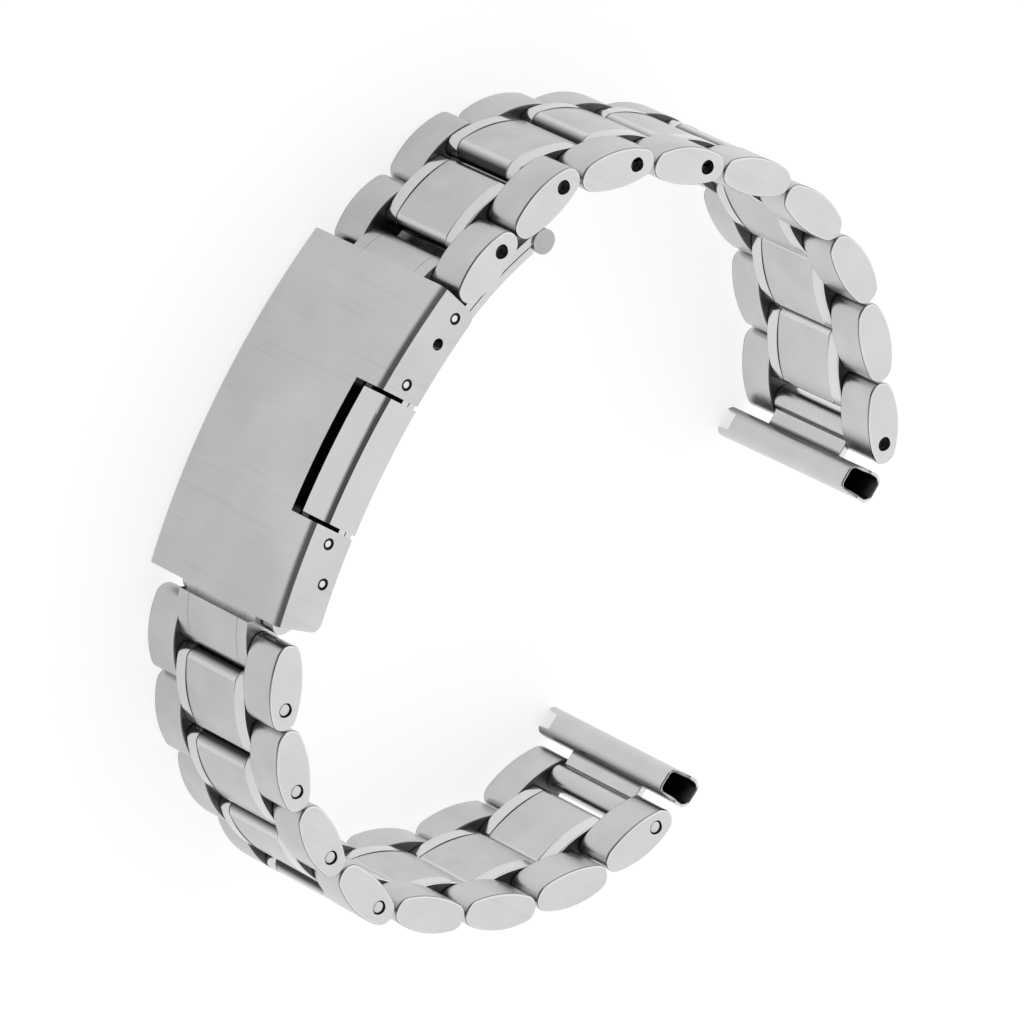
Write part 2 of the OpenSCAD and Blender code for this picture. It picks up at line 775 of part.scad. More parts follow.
// Mushroom post on the lower blade that the button's hook holds.
module catch_post() {
    head_r = frame_top_r - frame_t - frame_gap;
    foot_r = lower_blade_r - blade_t / 2;
    color("whitesmoke") seated() difference() {
        union() {
            translate([-button_x, foot_r - cover_r, 0]) rotate([-90, 0, 0])
                cylinder(h = head_r - foot_r - lap, r = post_r);
            translate([-button_x, head_r - post_head_h - cover_r, 0]) rotate([-90, 0, 0])
                cylinder(h = post_head_h, r1 = post_r, r2 = post_head_r);
        }
        slab(-post_head_r, post_head_r) translate([0, -cover_r]) circle(r = lower_blade_r);
    }
}

// End sleeves

// Side view of a sleeve: the loop around the last pin, the tongue and the tube.
module tube_outline() {
    flat = [tube_d - 2 * tube_round, tube_h - 2 * tube_round];
    translate([sleeve_reach, 0]) {
        square([flat[0], tube_h], center = true);
        square([tube_d, flat[1]], center = true);
        for (sx = [-1, 1]) for (sy = [-1, 1])
            translate([sx * flat[0] / 2, sy * flat[1] / 2]) circle(r = tube_round);
    }
}

module end_sleeve() {
    color("silver") difference() {
        union() {
            slab(-half_sleeve, half_sleeve) tube_outline();
            slab(-half_centre, half_centre) {
                circle(r = loop_r);
                translate([0, -tongue_t / 2]) square([sleeve_reach - tube_d / 4, tongue_t]);
            }
        }
        rod([0, 0], run_r, -half_gap, half_gap);
        rod([sleeve_reach, 0], bar_bore_d / 2, -half_sleeve - over, half_sleeve + over);
        translate([sleeve_reach, -notch_w / 2, -half_sleeve - over])
            cube([tube_d, notch_w, notch_l + over]);
        translate([sleeve_reach - tube_d, -tube_h / 2 - over, half_sleeve - step_l])
            cube([2 * tube_d, step_t + over, step_l + over]);
    }
}

module end_sleeve_upper() {
    last = upper_pin(upper_count - 1);
    seated() at(last) rotate([0, 0, upper_sleeve_dir]) end_sleeve();
}

module end_sleeve_lower() {
    last = lower_pin(lower_count - 1);
    seated() at(last) rotate([0, 0, lower_sleeve_dir]) mirror([0, 1, 0]) end_sleeve();
}

clasp_cover();
button_frame();
frame_rivets();
cover_hinge_pin();
adjust_spring_bar();
button_springs();
push_button();
centre_blade();
fold_hinge_pin();
inner_blade();
catch_post();
blade_spring_bar();
upper_plates(0);  // upper_row_1_plates
upper_plates(1);  // upper_row_2_plates
upper_plates(2);  // upper_row_3_plates
upper_plates(3);  // upper_row_4_plates
upper_plates(4);  // upper_row_5_plates
upper_plates(5);  // upper_row_6_plates
upper_plates(6);  // upper_row_7_plates
upper_plates(7);  // upper_row_8_plates
upper_plates(8);  // upper_row_9_plates
upper_first_centre();  // upper_row_1_centre
upper_centre(1);  // upper_row_2_centre
upper_centre(2);  // upper_row_3_centre
upper_centre(3);  // upper_row_4_centre
upper_centre(4);  // upper_row_5_centre
upper_centre(5);  // upper_row_6_centre
upper_centre(6);  // upper_row_7_centre
upper_centre(7);  // upper_row_8_centre
upper_centre(8);  // upper_row_9_centre
upper_split_pin(0);  // upper_row_1_split_pin
upper_split_pin(1);  // upper_row_2_split_pin
upper_split_pin(2);  // upper_row_3_split_pin
upper_split_pin(3);  // upper_row_4_split_pin
upper_split_pin(8);  // upper_row_9_split_pin
lower_plates(0);  // lower_row_1_plates
lower_plates(1);  // lower_row_2_plates
lower_plates(2);  // lower_row_3_plates
lower_plates(3);  // lower_row_4_plates
lower_plates(4);  // lower_row_5_plates
lower_plates(5);  // lower_row_6_plates
lower_plates(6);  // lower_row_7_plates
lower_plates(7);  // lower_row_8_plates
lower_first_centre();  // lower_row_1_centre
lower_centre(1);  // lower_row_2_centre
lower_centre(2);  // lower_row_3_centre
lower_centre(3);  // lower_row_4_centre
lower_centre(4);  // lower_row_5_centre
lower_centre(5);  // lower_row_6_centre
lower_centre(6);  // lower_row_7_centre
lower_centre(7);  // lower_row_8_centre
lower_split_pin(0);  // lower_row_1_split_pin
lower_split_pin(1);  // lower_row_2_split_pin
lower_split_pin(2);  // lower_row_3_split_pin
lower_split_pin(3);  // lower_row_4_split_pin
lower_split_pin(7);  // lower_row_8_split_pin
end_sleeve_upper();
end_sleeve_lower();
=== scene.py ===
"""Steel watch bracelet with a folding clasp: plates, centre links, pins, sleeves, stage."""
import json
import math

import bpy
import numpy as np
from mathutils import Matrix, Vector


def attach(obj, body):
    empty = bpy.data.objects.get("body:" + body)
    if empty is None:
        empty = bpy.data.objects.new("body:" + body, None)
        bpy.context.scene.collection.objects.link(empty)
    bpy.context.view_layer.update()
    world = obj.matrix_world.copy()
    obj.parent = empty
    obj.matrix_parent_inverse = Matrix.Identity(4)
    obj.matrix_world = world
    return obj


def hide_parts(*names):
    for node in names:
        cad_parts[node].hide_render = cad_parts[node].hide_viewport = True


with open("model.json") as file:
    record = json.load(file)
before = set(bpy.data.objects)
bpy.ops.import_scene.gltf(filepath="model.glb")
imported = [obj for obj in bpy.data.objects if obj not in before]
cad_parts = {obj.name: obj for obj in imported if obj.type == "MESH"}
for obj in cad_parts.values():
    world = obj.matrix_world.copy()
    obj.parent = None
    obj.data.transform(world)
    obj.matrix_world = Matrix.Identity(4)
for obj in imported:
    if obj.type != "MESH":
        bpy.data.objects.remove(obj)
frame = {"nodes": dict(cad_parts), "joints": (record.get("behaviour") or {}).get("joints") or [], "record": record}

bl_info = {
    "name": "Steel Link Bracelet",
    "version": (1, 0, 0),
    "blender": (4, 5, 0),
    "location": "View3D > Sidebar > Bracelet",
    "description": "Builds the finished surfaces of a steel link bracelet over its packed frame",
    "category": "Object",
}

MM = 0.001
JOINTS = {j["name"]: j for j in frame["joints"]}
MOUNTS = {half: next(m["pos_m"][:2] for m in frame["record"]["mounts"] if half in m["name"])
          for half in ("upper", "lower")}
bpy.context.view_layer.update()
# Height of the plane halfway between the bracelet's two sides
MID_Z = JOINTS["cover_fold"]["pos_m"][2]

# Numbers of the rows, and of the rows whose pins are closed in
ROWS = {"upper": range(1, 10), "lower": range(1, 9)}
CLOSED_ROWS = {"upper": (5, 6, 7, 8), "lower": (5, 6, 7)}

# Material slots of the plates, and where they differ, of centre links, sleeves and pins.
# The shade, hollow and pin wall slots take painted shade. The edge line slot takes a painted
# dark reflection beside a plate's rounded edge. The centre links' end slot takes a polished
# finish darkened by painted shade towards the gaps.
FACE, SIDE, EDGE, SHADE, EDGE_REFLECTION = range(5)
STRIP, END = SIDE, EDGE_REFLECTION
RIM, HOLLOW_SHADE = 1, 2
PIN_WALL_SHADE = 1

# Angle between faces from which an edge shows sharp, and how level a flat side's face is
SHARP = math.radians(32)
LEVEL = 1e-9


# Sizes and colours that a user would change

class BraceletLinkSettings(bpy.types.PropertyGroup):
    pitch: bpy.props.FloatProperty(
        name="Pitch", description="Distance between link pins",
        default=8 * MM, unit="LENGTH")
    end_gap: bpy.props.FloatProperty(
        name="End gap", description="Gap between the ends of neighbouring plates",
        default=0.15 * MM, unit="LENGTH")
    centre_gap: bpy.props.FloatProperty(
        name="Centre gap", description="Gap between the ends of neighbouring centre links",
        default=0.03 * MM, unit="LENGTH")
    crown_out: bpy.props.FloatProperty(
        name="Outer crown", description="Height of a link from the pins to its outer face",
        default=1.78 * MM, unit="LENGTH")
    crown_in: bpy.props.FloatProperty(
        name="Inner crown", description="Height of a link from the pins to its inner face",
        default=1.66 * MM, unit="LENGTH")
    end_radius: bpy.props.FloatProperty(
        name="End radius", description="Radius of a link's round ends",
        default=1.3 * MM, unit="LENGTH")
    centre_drop: bpy.props.FloatProperty(
        name="Centre drop", description="How much lower the centre links lie",
        default=0.06 * MM, unit="LENGTH")
    plate_inside: bpy.props.FloatProperty(
        name="Plate inside", description="Distance from the middle to a plate's inner side",
        default=5.1 * MM, unit="LENGTH")
    plate_outside: bpy.props.FloatProperty(
        name="Plate outside", description="Distance from the middle to a plate's outer side",
        default=9.1 * MM, unit="LENGTH")
    strip_inside: bpy.props.FloatProperty(
        name="Strip inside", description="Distance from the middle to a polished strip",
        default=3.59 * MM, unit="LENGTH")
    strip_outside: bpy.props.FloatProperty(
        name="Strip outside", description="Distance from the middle to a strip's outer side",
        default=5.05 * MM, unit="LENGTH")
    seam: bpy.props.FloatProperty(
        name="Seam", description="Gap between a centre link and the strip beside it",
        default=0.04 * MM, unit="LENGTH")
    plate_edge: bpy.props.FloatProperty(
        name="Plate edge", description="Rounding along a plate's outer side",
        default=0.17 * MM, unit="LENGTH")
    strip_edge: bpy.props.FloatProperty(
        name="Strip edge", description="Rounding along strips and centre links",
        default=0.12 * MM, unit="LENGTH")
    middle_drop: bpy.props.FloatProperty(
        name="Middle drop", description="How much lower the brushed middle lies than the strips",
        default=0.06 * MM, unit="LENGTH")
    crease: bpy.props.FloatProperty(
        name="Crease", description="Turn of the surface where a centre link's round end starts",
        default=math.radians(12), subtype="ANGLE")
    hole_radius: bpy.props.FloatProperty(
        name="Hole radius", description="Radius of a pin hole in a plate",
        default=0.66 * MM, unit="LENGTH")
    hole_chamfer: bpy.props.FloatProperty(
        name="Hole chamfer", description="Width of the chamfer around a pin hole in a plate",
        default=0.03 * MM, unit="LENGTH")
    centre_hole: bpy.props.FloatProperty(
        name="Centre hole", description="Radius of a pin hole in a centre link or strip",
        default=0.64 * MM, unit="LENGTH")
    centre_chamfer: bpy.props.FloatProperty(
        name="Centre chamfer", description="Width of the chamfer around a centre link's hole",
        default=0.02 * MM, unit="LENGTH")
    closed_pin_radius: bpy.props.FloatProperty(
        name="Closed pin radius", description="Radius of a pin closed in between two plates",
        default=0.6 * MM, unit="LENGTH")
    closed_pin_half: bpy.props.FloatProperty(
        name="Closed pin half", description="Half the length of a closed-in pin",
        default=8.1 * MM, unit="LENGTH")
    split_pin_radius: bpy.props.FloatProperty(
        name="Split pin radius", description="Radius of a removable pin",
        default=0.55 * MM, unit="LENGTH")
    split_pin_half: bpy.props.FloatProperty(
        name="Split pin half", description="Half the length of a removable pin",
        default=9.03 * MM, unit="LENGTH")
    split_pin_dome: bpy.props.FloatProperty(
        name="Split pin dome", description="Rise of a removable pin's domed end",
        default=0.1 * MM, unit="LENGTH")
    first_trim: bpy.props.FloatProperty(
        name="First trim", description="How much shorter the first upper plates are",
        default=0.4 * MM, unit="LENGTH")
    first_upper_tilt: bpy.props.FloatProperty(
        name="First upper tilt", description="Slope of the first upper row",
        default=math.radians(-16.4), subtype="ANGLE")
    first_lower_tilt: bpy.props.FloatProperty(
        name="First lower tilt", description="Slope of the first lower row",
        default=math.radians(-151.5), subtype="ANGLE")


class BraceletSleeveSettings(bpy.types.PropertyGroup):
    reach: bpy.props.FloatProperty(
        name="Reach", description="Distance from the last link pin to the middle of the tube",
        default=4.1 * MM, unit="LENGTH")
    depth: bpy.props.FloatProperty(
        name="Tube depth", description="Depth of the tube along its tongue",
        default=2.8 * MM, unit="LENGTH")
    height: bpy.props.FloatProperty(
        name="Tube height", description="Height of the tube", default=2.4 * MM, unit="LENGTH")
    rounding: bpy.props.FloatProperty(
        name="Tube rounding", description="Radius of the tube's four long edges",
        default=0.9 * MM, unit="LENGTH")
    half_length: bpy.props.FloatProperty(
        name="Half length", description="Half the length of the tube",
        default=9.9 * MM, unit="LENGTH")
    sheet: bpy.props.FloatProperty(
        name="Sheet", description="Thickness of the folded sheet",
        default=0.27 * MM, unit="LENGTH")
    step: bpy.props.FloatProperty(
        name="Step", description="How far the tube's inner side ends before its other sides",
        default=1.9 * MM, unit="LENGTH")
    notch_half: bpy.props.FloatProperty(
        name="Notch half width", description="Half the width of the notch in the far end",
        default=0.8 * MM, unit="LENGTH")
    notch_slope: bpy.props.FloatProperty(
        name="Notch slope", description="Width over which a prong rises out of the notch",
        default=0.15 * MM, unit="LENGTH")
    notch_depth: bpy.props.FloatProperty(
        name="Notch depth", description="Depth of the notch in the far end",
        default=1.4 * MM, unit="LENGTH")
    loop_radius: bpy.props.FloatProperty(
        name="Loop radius", description="Radius of the loop around the last link pin",
        default=1.3 * MM, unit="LENGTH")
    tongue: bpy.props.FloatProperty(
        name="Tongue", description="Thickness of the folded tongue between loop and tube",
        default=0.7 * MM, unit="LENGTH")
    half_tongue: bpy.props.FloatProperty(
        name="Half tongue", description="Half the width of the tongue and its loop",
        default=5.05 * MM, unit="LENGTH")
    loop_hole: bpy.props.FloatProperty(
        name="Loop hole", description="Radius of the pin hole in the loop",
        default=0.64 * MM, unit="LENGTH")
    fillet: bpy.props.FloatProperty(
        name="Fillet", description="Radius of the fillets between loop and tongue",
        default=0.5 * MM, unit="LENGTH")


class BraceletFinishSettings(bpy.types.PropertyGroup):
    brushed: bpy.props.FloatVectorProperty(
        name="Brushed steel", description="Colour of the brushed outer and inner faces",
        default=(0.6, 0.6, 0.6), size=3, min=0, max=1, subtype="COLOR")
    satin: bpy.props.FloatVectorProperty(
        name="Satin steel", description="Colour of side faces, sleeves, pins and blades",
        default=(0.61, 0.61, 0.61), size=3, min=0, max=1, subtype="COLOR")
    polished: bpy.props.FloatVectorProperty(
        name="Polished steel", description="Colour of strips, rounded edges and pin faces",
        default=(0.72, 0.72, 0.72), size=3, min=0, max=1, subtype="COLOR")
    # Painted shade: this dark colour stands in for the shade on faces that look into gaps, holes and hollows
    shaded: bpy.props.FloatVectorProperty(
        name="Shaded steel", description="Colour of faces that look into the gaps",
        default=(0.12, 0.12, 0.12), size=3, min=0, max=1, subtype="COLOR")
    # Painted dark reflection: a dark line beside a plate's rounded edge, where the edge mirrors its dark
    # surroundings
    line: bpy.props.FloatVectorProperty(
        name="Edge line", description="Colour of the line beside a plate's rounded edge",
        default=(0.24, 0.24, 0.24), size=3, min=0, max=1, subtype="COLOR")
    cover: bpy.props.FloatVectorProperty(
        name="Cover steel", description="Colour of the clasp cover",
        default=(0.61, 0.61, 0.61), size=3, min=0, max=1, subtype="COLOR")
    cover_wall: bpy.props.FloatVectorProperty(
        name="Cover wall", description="Colour of the outside of the cover's side walls",
        default=(0.56, 0.56, 0.56), size=3, min=0, max=1, subtype="COLOR")
    button: bpy.props.FloatVectorProperty(
        name="Button steel", description="Colour of the button",
        default=(0.7, 0.7, 0.7), size=3, min=0, max=1, subtype="COLOR")
    button_face: bpy.props.FloatVectorProperty(
        name="Button face", description="Colour of the button's outer face",
        default=(0.57, 0.57, 0.57), size=3, min=0, max=1, subtype="COLOR")
    dull: bpy.props.FloatVectorProperty(
        name="Dull steel", description="Colour of the fold hinge and the blades' cut edges",
        default=(0.42, 0.42, 0.42), size=3, min=0, max=1, subtype="COLOR")
    spring: bpy.props.FloatVectorProperty(
        name="Spring steel", description="Colour of the button's springs",
        default=(0.5, 0.5, 0.5), size=3, min=0, max=1, subtype="COLOR")
    # Painted shade: near-black colour of rivets and pins below their faces, where they sit deep in the clasp
    rivet_wall_shade: bpy.props.FloatVectorProperty(
        name="Rivet wall shade", description="Colour of rivets and pins below their faces",
        default=(0.04, 0.04, 0.04), size=3, min=0, max=1, subtype="COLOR")
    streak_pitch: bpy.props.FloatProperty(
        name="Streak pitch", description="Spacing of the fine brushed streaks",
        default=0.09 * MM, unit="LENGTH")


class BraceletStageSettings(bpy.types.PropertyGroup):
    floor_size: bpy.props.FloatProperty(
        name="Floor size", description="Side of the floor", default=3.0, unit="LENGTH")
    lens: bpy.props.FloatProperty(
        name="Lens", description="Focal length of the camera in millimetres", default=351.5625)
    lamp_size: bpy.props.FloatProperty(
        name="Lamp size", description="Side of the soft lamp", default=0.9, unit="LENGTH")
    lamp_power: bpy.props.FloatProperty(
        name="Lamp power", description="Power of the soft lamp in watts", default=0.35)
    floor_grey: bpy.props.FloatProperty(
        name="Floor grey", description="Share of the light that the floor gives back",
        default=0.4)
    floor_glow: bpy.props.FloatProperty(
        name="Floor glow", description="Glow of the floor that the camera sees", default=0.76)
    mirror_glow: bpy.props.FloatProperty(
        name="Mirror glow", description="Glow of the floor that the steel mirrors",
        default=0.62)


# Surfaces

def crown_radius(half, height, end):
    """Radius of the arc that is tangent to both round ends and passes height above the middle."""
    return (half * half + height * height - 2 * half * end) / (2 * (height - end))


def cushion(half, out, inn, end, crease=0.0, per_crown=28, per_end=22):
    """Outline of a link as a function of the direction a of its normal.

    Each point is a circle's middle plus its radius times (cos a, sin a): the outer crown's
    circle near +90 degrees, the inner crown's near -90 degrees, and else the circle of the
    round end on that side. A crown meets an end where R sin t = half - end + end sin(t + crease),
    so that the surface turns by the crease there. Returns points, normals, which columns lie on
    the ends and which start a new stretch.
    """
    def meeting(height):
        radius = crown_radius(half, height, end)
        t = np.linspace(0.05, 0.8, 4000)  # tried angles, in radians
        off = radius * np.sin(t) - (half - end) - end * np.sin(t + crease)
        t = t[np.argmin(np.abs(off))]
        return radius, t, height - radius + radius * math.cos(t) - end * math.cos(t + crease)

    r_out, a_out, y_out = meeting(out)
    r_in, a_in, y_in = meeting(inn)
    q = math.pi / 2
    e_out, e_in = a_out + crease, a_in + crease
    up, down = per_end // 2, per_end - per_end // 2
    a = np.concatenate([
        np.linspace(-q + e_in, 0, down, endpoint=False), np.linspace(0, q - e_out, up),
        np.linspace(q - a_out, q + a_out, per_crown),
        np.linspace(q + e_out, 2 * q, up, endpoint=False), np.linspace(2 * q, 3 * q - e_in, down),
        np.linspace(3 * q - a_in, 3 * q + a_in, per_crown)])
    size = [down, up, per_crown, up, down, per_crown]
    part = np.repeat(np.arange(6), size)
    x = half - end
    mid = np.array([[x, -y_in], [x, y_out], [0, out - r_out], [-x, y_out], [-x, -y_in],
                    [0, r_in - inn]])[part]
    rad = np.array([end, end, r_out, end, end, r_in])[part]
    n = np.stack([np.cos(a), np.sin(a)], 1)
    points = mid + rad[:, None] * n
    # A crown and an end meet in one point: it is kept once, with a normal between the two
    last = np.cumsum(size) - 1
    keep = np.ones(len(a), bool)
    keep[[last[1], last[2], last[4], last[5]]] = False
    blend = n.copy()
    for i, j in ((last[1], last[1] + 1), (last[2], last[2] + 1), (last[4], last[4] + 1),
                 (last[5], 0)):
        blend[j] = (n[i] + n[j]) / np.linalg.norm(n[i] + n[j])
    starts = np.zeros(len(a), bool)
    starts[[0, last[1] + 1, last[2] + 1, last[4] + 1]] = True
    on_end = (part != 2) & (part != 5)  # 2 and 5 are the crowns
    return points[keep], blend[keep], on_end[keep], starts[keep]


def edge_rings(points, normals, height, edge, upwards, steps=5):
    """Quarter-round between a flat side at the given height and the band around the outline.

    At angle s the ring is the outline drawn in by edge * (1 - cos s), at edge * (1 - sin s)
    below the side. One more ring on each side keeps the flats flat.
    """
    s = np.linspace(math.pi / 2, 0, steps + 1)
    beside = edge * 1.25
    inset = np.concatenate([[beside], edge * (1 - np.cos(s)), [0.0]])
    below = np.concatenate([[0.0], edge * (1 - np.sin(s)), [beside]])
    rings = np.empty((len(inset), len(points), 3))
    rings[:, :, :2] = points[None] - inset[:, None, None] * normals[None]
    rings[:, :, 2] = (height - np.sign(upwards) * below)[:, None]
    return rings


def hole_rings(outline, centre, radius, height, upwards, chamfer):
    """Two circles around a hole: its wall's edge, and on the flat its chamfer's outer edge.

    Each point lies on the line from the hole's centre to the outline's point.
    """
    away = outline - centre
    away /= np.linalg.norm(away, axis=1)[:, None]
    rings = np.empty((2, len(outline), 3))
    rings[0, :, :2] = centre + radius * away
    rings[0, :, 2] = height - np.sign(upwards) * chamfer
    rings[1, :, :2] = centre + (radius + chamfer) * away
    rings[1, :, 2] = height
    return rings


def shell(rings, slots, around=False):
    """A surface through rings of points of shape (k, n, 3), from the high side to the low side.

    Neighbouring rings are joined by four-sided faces. Without around, the first and last ring
    are closed by fans to their middles; with it, the last ring is joined to the first.
    slots gives the material of each band of faces, fans included.
    """
    k, n, _ = rings.shape
    i = np.arange(n)
    j = (i + 1) % n
    rows = np.arange(k if around else k - 1)[:, None] * n
    nxt = (rows + n) % (k * n)
    quads = np.stack([rows + i, nxt + i, nxt + j, rows + j], -1)
    verts = rings.reshape(-1, 3)
    if around:
        return verts, quads.reshape(-1, 4), np.zeros((0, 3), int), np.repeat(slots, n), n
    verts = np.concatenate([verts, rings[:1].mean(1), rings[-1:].mean(1)])
    fans = np.concatenate([np.stack([np.full(n, k * n), i, j], 1),
                           np.stack([np.full(n, k * n + 1), (k - 1) * n + j, (k - 1) * n + i], 1)])
    kinds = np.concatenate([np.repeat(slots[1:-1], n), np.full(n, slots[0]), np.full(n, slots[-1])])
    return verts, quads.reshape(-1, 4), fans, kinds, n


def mirrored(part):
    """The same shell on the other side of the middle plane, turned the right way out."""
    verts, quads, fans, kinds, n = part
    return verts * [1, 1, -1], quads[:, ::-1], fans[:, ::-1], kinds, n


def rod(x, radius, low, high, slot, chamfer=0.08 * MM, count=32):
    """A pin along the width: a circle carried from high to low, with small chamfers."""
    a = np.linspace(0, 2 * math.pi, count, endpoint=False)
    r = np.array([radius - chamfer, radius, radius, radius - chamfer])
    z = np.array([high, high - chamfer, low + chamfer, low])
    rings = np.stack([x + r[:, None] * np.cos(a), r[:, None] * np.sin(a),
                      np.broadcast_to(z[:, None], (4, count))], -1)
    return shell(rings, [slot] * 5)


def domed_pin(x, radius, high, dome, steps=6, count=36):
    """A pin along the width: at both ends its radius is multiplied by the sine of the angle t
    while it rises by the dome times the cosine of t."""
    t = np.linspace(0.2, math.pi / 2, steps)
    r = radius * np.sin(t)
    z = high - dome + dome * np.cos(t)
    r, z = np.concatenate([r, r[::-1]]), np.concatenate([z, -z[::-1]])
    a = np.linspace(0, 2 * math.pi, count, endpoint=False)
    rings = np.stack([x + r[:, None] * np.cos(a), r[:, None] * np.sin(a),
                      np.broadcast_to(z[:, None], (len(z), count))], -1)
    # The pin's long wall between its domes gets painted shade
    return shell(rings, np.array([FACE] * steps + [PIN_WALL_SHADE] + [FACE] * steps))


def smooth(x, low, high):
    """Rises from 0 to 1 between low and high, level at both ends."""
    t = np.clip((x - low) / (high - low), 0, 1)
    return t * t * (3 - 2 * t)


def sleeve_tube(s):
    """Tube of folded sheet: a rounded rectangle carried along the width, once outside and once,
    a sheet's thickness further in, back inside.

    Each point of the outline is a corner's middle plus the rounding times the direction a. The
    near end comes forward by the step except on the tube's inner side, and that side's far end
    has a notch between two prongs: both are heights that depend on where the point is.
    """
    a = np.linspace(0, 2 * math.pi, 112, endpoint=False) + math.pi / 112
    n = np.stack([np.cos(a), np.sin(a)], 1)
    core = np.sign(n) * [s.depth / 2 - s.rounding, s.height / 2 - s.rounding]
    outer = core + s.rounding * n
    level = outer[:, 1] + s.height / 2
    near = s.half_length - s.step * (1 - smooth(level, 0.1 * MM, 0.75 * MM))
    notch = 1 - smooth(np.abs(outer[:, 0]), s.notch_half, s.notch_half + s.notch_slope)
    far = -s.half_length + s.notch_depth * notch * (outer[:, 1] < 0)
    lip = 0.35 * s.sheet
    deep = np.full(len(n), s.half_length - s.step - 0.5 * MM)
    rows = [(lip, near), (0, near - lip), (0, deep), (0, -deep), (0, far + lip), (lip, far),
            (s.sheet - lip, far), (s.sheet, far + lip), (s.sheet, -deep), (s.sheet, deep),
            (s.sheet, near - lip), (s.sheet - lip, near)]
    rings = np.stack([np.column_stack([outer - inset * n + [s.reach, 0], z]) for inset, z in rows])
    # The inside of the tube gets painted shade
    slots = [RIM] + [FACE] * 3 + [RIM] * 3 + [HOLLOW_SHADE] * 3 + [RIM] * 2
    return shell(rings, np.array(slots), around=True)


def sleeve_tongue(s):
    """Tongue and loop: a circle around the pin runs through two fillets into a flat tongue that
    ends in the tube's wall. The outline is carried along the width, with round edges."""
    half, edge, chamfer = s.tongue / 2, 0.08 * MM, 0.03 * MM
    in_wall = 0.6 * s.sheet
    end = s.reach - s.depth / 2 + in_wall
    rise = half + s.fillet
    away = math.sqrt((s.loop_radius + s.fillet) ** 2 - rise * rise)
    turn = math.atan2(rise, away)
    line = np.linspace(end, away, 8, endpoint=False)
    a = np.linspace(-math.pi / 2, -math.pi + turn, 8, endpoint=False)
    b = np.linspace(turn, math.pi, 30, endpoint=False)
    top = np.concatenate([
        np.stack([line, np.full(8, half)], 1),
        np.stack([away + s.fillet * np.cos(a), rise + s.fillet * np.sin(a)], 1),
        s.loop_radius * np.stack([np.cos(b), np.sin(b)], 1)])
    normal = np.concatenate([
        np.tile([0.0, 1.0], (8, 1)), -np.stack([np.cos(a), np.sin(a)], 1),
        np.stack([np.cos(b), np.sin(b)], 1)])
    points = np.concatenate([top, [[-s.loop_radius, 0.0]], top[:0:-1] * [1, -1], [[end, -half]]])
    normals = np.concatenate([normal, [[-1.0, 0.0]], normal[:0:-1] * [1, -1], [[0.0, -1.0]]])
    high = edge_rings(points, normals, s.half_tongue, edge, 1, 4)
    low = edge_rings(points, normals, -s.half_tongue, edge, -1, 4)[::-1]
    pin = np.zeros(2)
    hole = hole_rings(high[0, :, :2], pin, s.loop_hole, s.half_tongue, 1, chamfer)
    back = hole_rings(low[-1, :, :2], pin, s.loop_hole, -s.half_tongue, -1, chamfer)[::-1]
    rings = np.concatenate([hole, high, low, back])
    # The loop's pin hole gets painted shade
    slots = [HOLLOW_SHADE] + [RIM] * 6 + [FACE] * 3 + [RIM] * 6 + [HOLLOW_SHADE] * 2
    return shell(rings, np.array(slots), around=True)


def sleeve_place(half):
    """Origin, direction and outward normal of a sleeve, from its joint and its mount."""
    pin = np.array(JOINTS[half + "_sleeve_turn"]["pos_m"][:2])
    along = np.array(MOUNTS[half]) - pin
    along /= np.linalg.norm(along)
    side = 1 if half == "upper" else -1
    return pin, along, side * np.array([-along[1], along[0]])


def ends_of(part, on_end, was, now):
    """Gives the faces on the link's round ends the finish now wherever they had the finish was."""
    verts, quads, fans, kinds, n = part
    rows = len(quads) // n
    grid = kinds[:rows * n].reshape(rows, n)
    grid[:, on_end] = np.where(grid[:, on_end] == was, now, grid[:, on_end])
    return verts, quads, fans, np.concatenate([grid.ravel(), kinds[rows * n:]]), n


